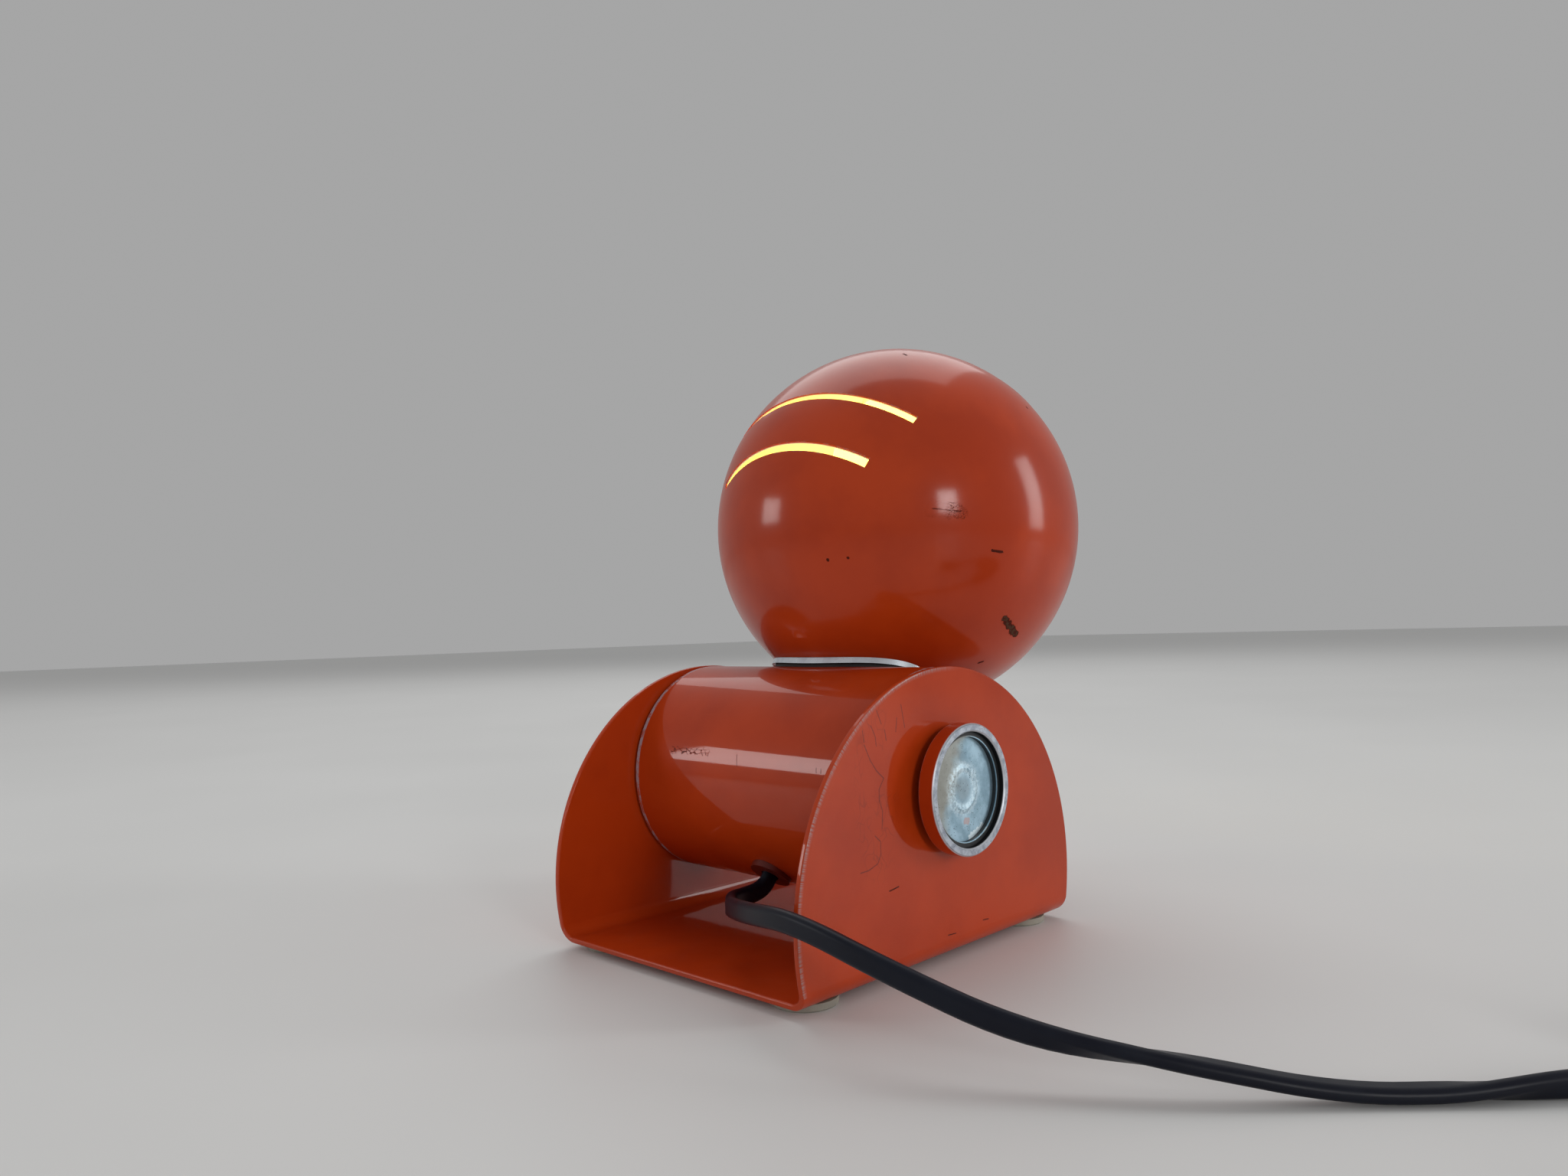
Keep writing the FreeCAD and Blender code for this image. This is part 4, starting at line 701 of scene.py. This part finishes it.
# Which pieces of the lamp wear each finish
WORN_BY = {
    "barrel_lacquer": ["barrel_tube", "barrel_cap_left", "barrel_cap_right"],
    "head_lacquer": ["head_shell"],
    "cheek_lacquer": ["bracket"],
    "knob_lacquer": ["knob_cup"],
    "zinc_disc": ["knob_disc"],
    "chrome": ["saddle_collar"],
    "plain_steel": [
        "pivot_bolt", "pivot_washer", "pivot_lock_nut", "clamp_nut", "pivot_bush", "knob_spindle", "wiring_plate",
        "terminal_screws", "cord_clamp_screws", "nipple_nut", "inner_saddle_washer", "holder_seat", "switch_screws",
        "bulb_contact",
    ],
    "plain_brass": ["neck_nipple", "lampholder_contact", "lampholder_thread", "bulb_cap"],
    "sleeved_brass": ["plug_pins"],
    "red_rubber": ["cord_grommet"],
    "black_rubber": ["saddle_gasket", "plug_relief", "plug_body"],
    "dark_fibre": ["friction_washer_left", "friction_washer_right", "knob_spacer"],
    "foot_rubber": ["foot_pad_front_left", "foot_pad_front_right", "foot_pad_back_left", "foot_pad_back_right"],
    "navy_flex": ["cord_lead_out", "cord_run", "cord_coil", "cord_plug_tail", "cord_tail"],
    "black_phenolic": ["lampholder_cap", "lampholder_skirt"],
    "cream_ceramic": ["lampholder_insulator"],
    "white_plastic": ["terminal_block", "cord_clamp", "lead_live", "lead_neutral"],
    "black_switch": ["switch_base", "switch_cover", "switch_rocker"],
    "black_band": ["coil_tie"],
    "opal_bulb": ["bulb_glass"],
}
for look, wearers in WORN_BY.items():
    for wearer in wearers:
        slots = nodes[wearer].data.materials
        slots.clear()
        slots.append(finishes[look])


# ---- the flex

# The route from the terminal block to the switch, as points in millimetres
ROUTE_TO_SWITCH = [
    (0.0, 8.0, 37.76),
    (0.0, 21.12, 20.96),
    (0.0, 22.85, 18.76),
    (0.3, 26.1, 17.1),
    (0.5, 32.8, 16.7),
    (-2.5, 39.5, 17.6),
    (-10.1, 45.6, 18.2),
    (-17.8, 53.7, 21.3),
    (-31.8, 61.9, 23.6),
    (-55.0, 68.6, 26.7),
    (-82.0, 67.6, 20.2),
    (-108.0, 57.8, 10.6),
    (-134.0, 43.0, 7.3),
    (-156.5, 25.4, 1.9),
    (-174.6, 9.1, 2.0),
    (-189.5, -6.0, 3.0),
    (-201.0, -16.9, 3.4),
    (-210.0, -26.2, 3.7),
    (-253.1, -70.75, 3.7),
]
ROUTE_TO_PLUG = [
    (-333.9, -34.3, 9.8),
    (-313.6, -12.2, 9.8),
    (-306.1, -4.1, 9.6),
    (-298.0, 4.7, 8.4),
    (-289.9, 13.5, 6.85),
    (-282.5, 21.6, 6.85),
    (-272.3, 32.6, 6.85),
]
# The coil in steps of ninety degrees: as many out as in, and a few up between them
STEPS_IN, STEPS_UP = 12, 2
STEPS = STEPS_IN + STEPS_UP + STEPS_IN
POINTS_A_STEP = 5
COIL_START_ANGLE = -44.06
COIL_OUTER, COIL_WOUND_IN = 41.7, 20.1
COIL_LOW, COIL_LIFT = 3.5, 6.3
# The spline lies a little inside its points, so they lie a little further out
COIL_SPREAD = 1.0124


def eased(share):
    """A share held between 0 and 1, with a soft start and end."""
    share = min(max(share, 0), 1)
    return share * share * (3 - 2 * share)


def coil_points():
    """Three turns in, a half turn up, three turns out, clockwise from above."""
    points = []
    for k in range(STEPS * POINTS_A_STEP):
        step = k / POINTS_A_STEP
        angle = math.radians(COIL_START_ANGLE - 90 * step)
        radius = (COIL_OUTER - COIL_WOUND_IN * min(step, STEPS - step, STEPS_IN) / STEPS_IN) * COIL_SPREAD
        height = COIL_LOW + COIL_LIFT * eased((step - STEPS_IN) / STEPS_UP)
        points.append((COIL_CENTRE[0] + radius * math.cos(angle), COIL_CENTRE[1] + radius * math.sin(angle), height))
    return points


def smooth_line(points, name):
    """Points along a smooth spline that has the given points as its control points."""
    curve = bpy.data.curves.new(name, "CURVE")
    curve.dimensions = "3D"
    curve.resolution_u = 7
    spline = curve.splines.new("NURBS")
    spline.points.add(len(points) - 1)
    for control, place in zip(spline.points, points):
        control.co = (*metres(place), 1.0)
    spline.order_u = 3
    spline.use_endpoint_u = True
    holder = bpy.data.objects.new(name, curve)
    bpy.context.scene.collection.objects.link(holder)
    bpy.context.view_layer.update()
    line = bpy.data.meshes.new_from_object(holder)
    places = [v.co.copy() for v in line.vertices]
    bpy.data.objects.remove(holder)
    bpy.data.curves.remove(curve)
    bpy.data.meshes.remove(line)
    return places


# The two round sides of the flex, and how far they and the flats between them are pressed in
FLEX_SIDE_RADIUS, FLEX_SIDE_MIDDLE = 1.65, 1.05
FLEX_PRESSED, FLEX_HOLLOW = 0.97, 0.95
# Where the flex turns onto its wide side and off it again, and over what distance, away from the lamp
TURNS_FLAT, TURNS_BACK = (100, 40), (168, 24)


def flex_section():
    """A flat twin flex, 5.4 by 3.3 mm: two round sides and two nearly flat ones."""
    corners = []
    for side in (1, -1):
        for k in range(-6, 7):
            angle = math.radians(k * 15)
            across = side * (FLEX_SIDE_MIDDLE + FLEX_SIDE_RADIUS * math.cos(angle))
            through = side * FLEX_SIDE_RADIUS * math.sin(angle)
            corners.append((across, through * (FLEX_PRESSED if abs(k) < 6 else FLEX_HOLLOW)))
    return corners


def lying_flat(place):
    """How far the flex lies on its wide side: only where it comes down to the table."""
    flat, back = (eased((-place.x / MM - start) / over) for start, over in (TURNS_FLAT, TURNS_BACK))
    return flat - back


def pick(*objects):
    """Select these only; the last is the one that is worked on."""
    for obj in bpy.context.selected_objects:
        obj.select_set(False)
    for obj in objects:
        obj.select_set(True)
        bpy.context.view_layer.objects.active = obj


def face_outwards():
    """In edit mode: turn every face of the piece outwards and leave edit mode."""
    bpy.ops.mesh.select_all(action="SELECT")
    bpy.ops.mesh.normals_make_consistent(inside=False)
    bpy.ops.object.mode_set(mode="OBJECT")


def make_flex():
    """The flat section carried along the route, on its edge or on its wide side; gives the route too."""
    route = smooth_line(ROUTE_TO_SWITCH + coil_points() + ROUTE_TO_PLUG, "flex_route")
    section = flex_section()
    verts, faces = [], []
    for k, place in enumerate(route):
        before, after = route[max(k - 1, 0)], route[min(k + 1, len(route) - 1)]
        ahead = (after - before).normalized()
        up = (Vector((0, 0, 1)) - ahead * ahead.z).normalized()
        side = ahead.cross(up)
        lean = math.radians(90) * lying_flat(place)
        wide = up * math.cos(lean) + side * math.sin(lean)
        thin = ahead.cross(wide)
        for across, through in section:
            verts.append(place + wide * across * MM + thin * through * MM)
    n = len(section)
    for k in range(len(route) - 1):
        for j in range(n):
            a, b = k * n + j, k * n + (j + 1) % n
            faces.append((a, b, b + n, a + n))
    faces.append(tuple(range(n - 1, -1, -1)))
    faces.append(tuple(range((len(route) - 1) * n, len(route) * n)))
    mesh = bpy.data.meshes.new("flex")
    mesh.from_pydata(verts, [], faces)
    flex = bpy.data.objects.new("flex", mesh)
    bpy.context.scene.collection.objects.link(flex)
    pick(flex)
    bpy.ops.object.mode_set(mode="EDIT")
    face_outwards()
    bpy.ops.object.shade_smooth()
    mesh.materials.append(finishes["navy_flex"])
    return flex, route


flex, flex_line = make_flex()
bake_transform(flex)
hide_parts("cord_lead_out", "cord_run", "cord_coil", "cord_plug_tail", "cord_tail")


# ---- pieces on the flex, and the bulb


def frame_at(origin, ahead, up=(0, 0, 1)):
    """A place in metres with its own X, Y and Z ways, from a point, an X way and a rough Z way."""
    x = Vector(ahead).normalized()
    y = Vector(up).cross(x).normalized()
    return Matrix.Translation(metres(origin)) @ Matrix((x, y, x.cross(y))).transposed().to_4x4()


def choose(kind, obj, test):
    """In edit mode, with only the edges or faces that pass the test selected; an edge's test gets its two ends."""
    bpy.ops.object.mode_set(mode="OBJECT")
    corners, sides, faces = obj.data.vertices, obj.data.edges, obj.data.polygons
    for item in (*corners, *sides, *faces):
        item.select = False
    for item in faces if kind == "FACE" else sides:
        item.select = test(item) if kind == "FACE" else test(*(corners[k].co for k in item.vertices))
    bpy.ops.object.mode_set(mode="EDIT")
    bpy.ops.mesh.select_mode(type=kind)


def drawn_up(rings, corners=40):
    """A round piece drawn up from a disc, ring after ring; each ring is its height and radius in millimetres."""
    pick()
    bpy.ops.mesh.primitive_circle_add(vertices=corners, radius=rings[0][1] * MM, fill_type="NGON")
    piece = bpy.context.object
    bpy.ops.object.mode_set(mode="EDIT")
    bpy.ops.mesh.select_all(action="SELECT")
    for (low, before), (high, after) in zip(rings, rings[1:]):
        bpy.ops.mesh.extrude_region_move(TRANSFORM_OT_translate={"value": (0, 0, (high - low) * MM)})
        bpy.ops.transform.resize(value=(after / before, after / before, 1.0))
    face_outwards()
    return piece


def block(size, place, round_by):
    """A rectangular block with rounded edges, in millimetres."""
    pick()
    bpy.ops.mesh.primitive_cube_add(size=1.0, location=metres(place))
    piece = bpy.context.object
    bpy.ops.object.mode_set(mode="EDIT")
    bpy.ops.mesh.select_all(action="SELECT")
    bpy.ops.transform.resize(value=metres(size))
    bpy.ops.mesh.bevel(offset=round_by * MM, segments=3, affect="EDGES")
    bpy.ops.object.mode_set(mode="OBJECT")
    return piece


def settle(piece, name, place, look, slot, *stands_for, body="stand"):
    """Put a finished piece in its place, with its name, its finish and what it stands for."""
    piece.matrix_world = place @ piece.matrix_world
    pick(piece)
    bpy.ops.object.transform_apply(location=True, rotation=True, scale=True)
    bpy.ops.object.shade_smooth_by_angle(angle=math.radians(32))
    piece.name = piece.data.name = name
    piece.data.materials.clear()
    piece.data.materials.append(finishes[look])
    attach(piece, body)
    if stands_for:
        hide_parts(*stands_for)
    return piece


def copy_of(piece, place):
    """The same piece again somewhere else, with a mesh of its own."""
    again = piece.copy()
    again.data = piece.data.copy()
    again.matrix_world = place @ piece.matrix_world
    bpy.context.scene.collection.objects.link(again)
    return again


def one_piece(*pieces):
    """Separate bodies kept as one piece, as one bag of screws."""
    pick(*pieces)
    bpy.ops.object.join()
    return bpy.context.object


# The relief's rings, each a height and a radius: its thin end, its ribs on the taper and its thick end
RELIEF_THIN_END = [(0.0, 2.9), (0.3, 3.4)]
RELIEF_THICK_END = [(21.8, 5.1), (22.0, 5.1)]
RIBS, FIRST_RIB, RIB_SPACING = 6, 1.2, 3.45
TAPER_RADIUS, TAPER_A_RIB = 3.6, 0.27
RIB = [(0.0, 0.0), (0.3, 0.25), (1.6, 0.3), (1.9, 0.05), (2.0, -0.75), (3.2, -0.65)]


def make_relief():
    """The plug's bend relief: rubber ribs on a taper."""
    rings = list(RELIEF_THIN_END)
    for k in range(RIBS):
        foot, thick = FIRST_RIB + RIB_SPACING * k, TAPER_RADIUS + TAPER_A_RIB * k
        rings += [(foot + along, thick + proud) for along, proud in RIB]
    relief = drawn_up(rings + RELIEF_THICK_END)
    place = frame_at(PLUG_START, PLUG_WAY) @ Matrix.Rotation(math.radians(90), 4, "Y")
    return settle(relief, "ribbed_relief", place, "black_rubber", "flex", "plug_relief")


# The middle ridge of the grip: its size, its place along the plug and its rounding
RIDGE = (1.3, 22.0, 1.0), (50.0, 0.0, 6.75), 0.35
RIDGE_SPACING = 2.6


def make_grip():
    """Three low ridges on top of the plug, where fingers pull."""
    ridge = block(*RIDGE)
    others = [copy_of(ridge, Matrix.Translation(metres((k * RIDGE_SPACING, 0.0, 0.0)))) for k in (-1, 1)]
    return settle(one_piece(*others, ridge), "plug_grip", frame_at(PLUG_START, PLUG_WAY), "black_rubber", "switch")


SCREW_RADIUS, SCREW_THICK, SCREW_LEVEL, SCREW_ROUND = 2.4, 0.95, 14.4, 0.3
SLOT_HALF, SLOT_DEPTH = 0.32, 0.55
# Each screw's place along the switch, and how far its slot is turned in degrees
SCREW_PLACES = (9.0, -20), (53.0, 55)


def make_slotted_screws():
    """Two slotted cheese-head screws in the switch."""
    pick()
    bpy.ops.mesh.primitive_cylinder_add(
        vertices=40, radius=SCREW_RADIUS * MM, depth=SCREW_THICK * MM, location=(0, 0, SCREW_LEVEL * MM)
    )
    screw = bpy.context.object
    choose("EDGE", screw, lambda a, b: min(a.z, b.z) > 0)
    bpy.ops.mesh.bevel(offset=SCREW_ROUND * MM, segments=3, affect="EDGES")
    for side in (-SLOT_HALF, SLOT_HALF):
        bpy.ops.mesh.select_all(action="SELECT")
        bpy.ops.mesh.bisect(plane_co=(0, side * MM, SCREW_LEVEL * MM), plane_no=(0, 1, 0))
    choose("FACE", screw, lambda face: face.normal.z > 0.99 and abs(face.center.y) < 0.9 * SLOT_HALF * MM)
    bpy.ops.mesh.extrude_region_move(TRANSFORM_OT_translate={"value": (0, 0, -SLOT_DEPTH * MM)})
    face_outwards()
    first_place, second_place = (
        Matrix.Translation(metres((along, 0, 0))) @ Matrix.Rotation(math.radians(turn), 4, "Z")
        for along, turn in SCREW_PLACES
    )
    second = copy_of(screw, second_place)
    screw.matrix_world = first_place @ screw.matrix_world
    both = one_piece(second, screw)
    return settle(both, "slotted_screws", frame_at(SWITCH_START, SWITCH_WAY), "plain_steel", "steel", "switch_screws")


# The tie, out from the coil's middle: the band round the turns, and its lock and end, each with size, place, rounding
BAND_SIZE, BAND_PLACE, BAND_ROUND, BAND_THICK = (25.7, 4.5, 13.0), (32.05, 0, 6.62), 2.2, 0.55
TIE_LOCK = (5.6, 6.2, 2.2), (31.0, 0.0, 13.2), 0.5
TIE_END = (7.5, 4.2, 0.7), (36.0, 0.0, 13.75), 0.25


def make_tie():
    """A flat band round the coil, drawn through a small lock and trimmed."""
    pick()
    bpy.ops.mesh.primitive_cube_add(size=1.0, location=metres(BAND_PLACE))
    band = bpy.context.object
    bpy.ops.object.mode_set(mode="EDIT")
    bpy.ops.mesh.select_all(action="SELECT")
    bpy.ops.transform.resize(value=metres(BAND_SIZE))
    choose("EDGE", band, lambda a, b: abs(a.x - b.x) < 1e-6 and abs(a.z - b.z) < 1e-6)
    bpy.ops.mesh.bevel(offset=BAND_ROUND * MM, segments=5, affect="EDGES")
    choose("FACE", band, lambda face: abs(face.normal.y) > 0.99)
    bpy.ops.mesh.inset(thickness=BAND_THICK * MM)
    bpy.ops.mesh.bridge_edge_loops()
    face_outwards()
    lock, end = block(*TIE_LOCK), block(*TIE_END)
    place = Matrix.Translation(metres((*COIL_CENTRE, 0))) @ Matrix.Rotation(math.radians(TIE_ANGLE), 4, "Z")
    return settle(one_piece(lock, end, band), "tie_band", place, "black_band", "tie", "coil_tie")


def make_globe():
    """The lit bulb: an opal globe on a drawn neck, full enough to be seen all along both slots."""
    # Along the neck from the barrel's axis: the foot, where neck and ball join, and the ball's middle
    foot, join, centre = 70.6, 97.0, 113.2
    neck_radius, flare, radius = 6.95, 2.2, 28.8
    reach, neck_rings, ball_rings = 9, 12, 24
    wide = math.sqrt(radius**2 - (centre - join) ** 2)
    slope = (centre - join) / wide
    lower = (foot, neck_radius, 0), (foot + reach, neck_radius + flare, 0)
    upper = (join - reach, wide - reach * slope, 0), (join, wide, 0)
    rings = [place[:2] for place in geometry.interpolate_bezier(*lower, *upper, neck_rings)]
    low, high = math.asin((join - centre) / radius), math.radians(88)
    for k in range(1, ball_rings + 1):
        turn = low + (high - low) * k / ball_rings
        rings.append((centre + radius * math.sin(turn), radius * math.cos(turn)))
    start = Vector((0, 0, BARREL_HEIGHT)) + Vector(NECK_WAY) * foot
    place = frame_at(start, NECK_WAY, (1, 0, 0)) @ Matrix.Rotation(math.radians(90), 4, "Y")
    return settle(drawn_up(rings, 64), "opal_globe", place, "opal_bulb", "bulb", "bulb_glass", body="head")


ribbed_relief = make_relief()
plug_grip = make_grip()
slotted_screws = make_slotted_screws()
tie_band = make_tie()
make_globe()


# ---- floor, light, camera

FLOOR_WIDTH = 12.0


def make_floor():
    """A plain floor under the lamp, wide enough to end far behind it."""
    pick()
    bpy.ops.mesh.primitive_plane_add(size=FLOOR_WIDTH)
    floor = bpy.context.object
    floor.name = "pale_floor"
    floor.data.materials.append(make_floor_finish())


LAMP_MIDDLE = (0.0, -0.01, 0.08)
SURROUND_GREY = (0.38, 0.38, 0.38, 1)
# Each soft box: its place and size in metres, its power in watts and its grid's opening in degrees
SOFTBOXES = {
    "left_softbox": ((0.90, 0.93, 0.36), (0.32, 0.26), 0.42, 90),
    "back_softbox": ((-1.25, 0.42, 0.37), (0.26, 0.30), 0.72, 90),
    "right_softbox": ((-0.97, -0.90, 0.43), (0.28, 0.70), 0.92, 90),
    "overhead_softbox": ((0.9, -0.9, 2.0), (2.0, 2.0), 19.0, 180),
}


def make_softbox(name, place, size, power, spread):
    """A white soft box turned to the lamp, with a grid that keeps its light off the floor beside it."""
    light = bpy.data.lights.new(name, "AREA")
    light.shape = "RECTANGLE"
    light.size, light.size_y = size
    light.energy = power
    light.spread = math.radians(spread)
    holder = bpy.data.objects.new(name, light)
    holder.location = place
    holder.rotation_euler = (Vector(LAMP_MIDDLE) - Vector(place)).to_track_quat("-Z", "Y").to_euler()
    holder.visible_camera = False
    bpy.context.scene.collection.objects.link(holder)


def make_studio_light():
    """An even grey surround, three soft boxes round the lamp and a large one over it, all white."""
    world = bpy.data.worlds.new("even_surround")
    world.use_nodes = True
    world.node_tree.nodes["Background"].inputs["Color"].default_value = SURROUND_GREY
    bpy.context.scene.world = world
    for name, settings in SOFTBOXES.items():
        make_softbox(name, *settings)


# The photograph's camera, in metres and radians, and its focal length in the photograph's pixels
CAMERA_PLACE = (-0.2284675, 0.2472093, 0.0930015)
CAMERA_TURN = (math.pi - 0.770098, 0.037548, 0.029329)
PHOTO_WIDTH, PHOTO_FOCUS = 2048, 1420
SENSOR_WIDTH = 36.0


def make_camera():
    """The photograph's place and turn: beside the knob, low, looking slightly up."""
    yaw, pitch, roll = CAMERA_TURN
    ahead = Vector((math.sin(yaw) * math.cos(pitch), math.cos(yaw) * math.cos(pitch), math.sin(pitch)))
    right = Vector((math.cos(yaw), -math.sin(yaw), 0.0))
    down = ahead.cross(right)
    across = right * math.cos(roll) + down * math.sin(roll)
    below = down * math.cos(roll) - right * math.sin(roll)
    camera = bpy.data.objects.new("camera", bpy.data.cameras.new("camera"))
    camera.data.sensor_width = SENSOR_WIDTH
    camera.data.lens = SENSOR_WIDTH * PHOTO_FOCUS / PHOTO_WIDTH
    camera.data.clip_start = 0.01
    turn = Matrix((across, -below, -ahead)).transposed().to_4x4()
    camera.matrix_world = Matrix.Translation(CAMERA_PLACE) @ turn
    bpy.context.scene.collection.objects.link(camera)
    bpy.context.scene.camera = camera


make_floor()
make_studio_light()
make_camera()
bpy.context.scene.view_settings.view_transform = "Standard"
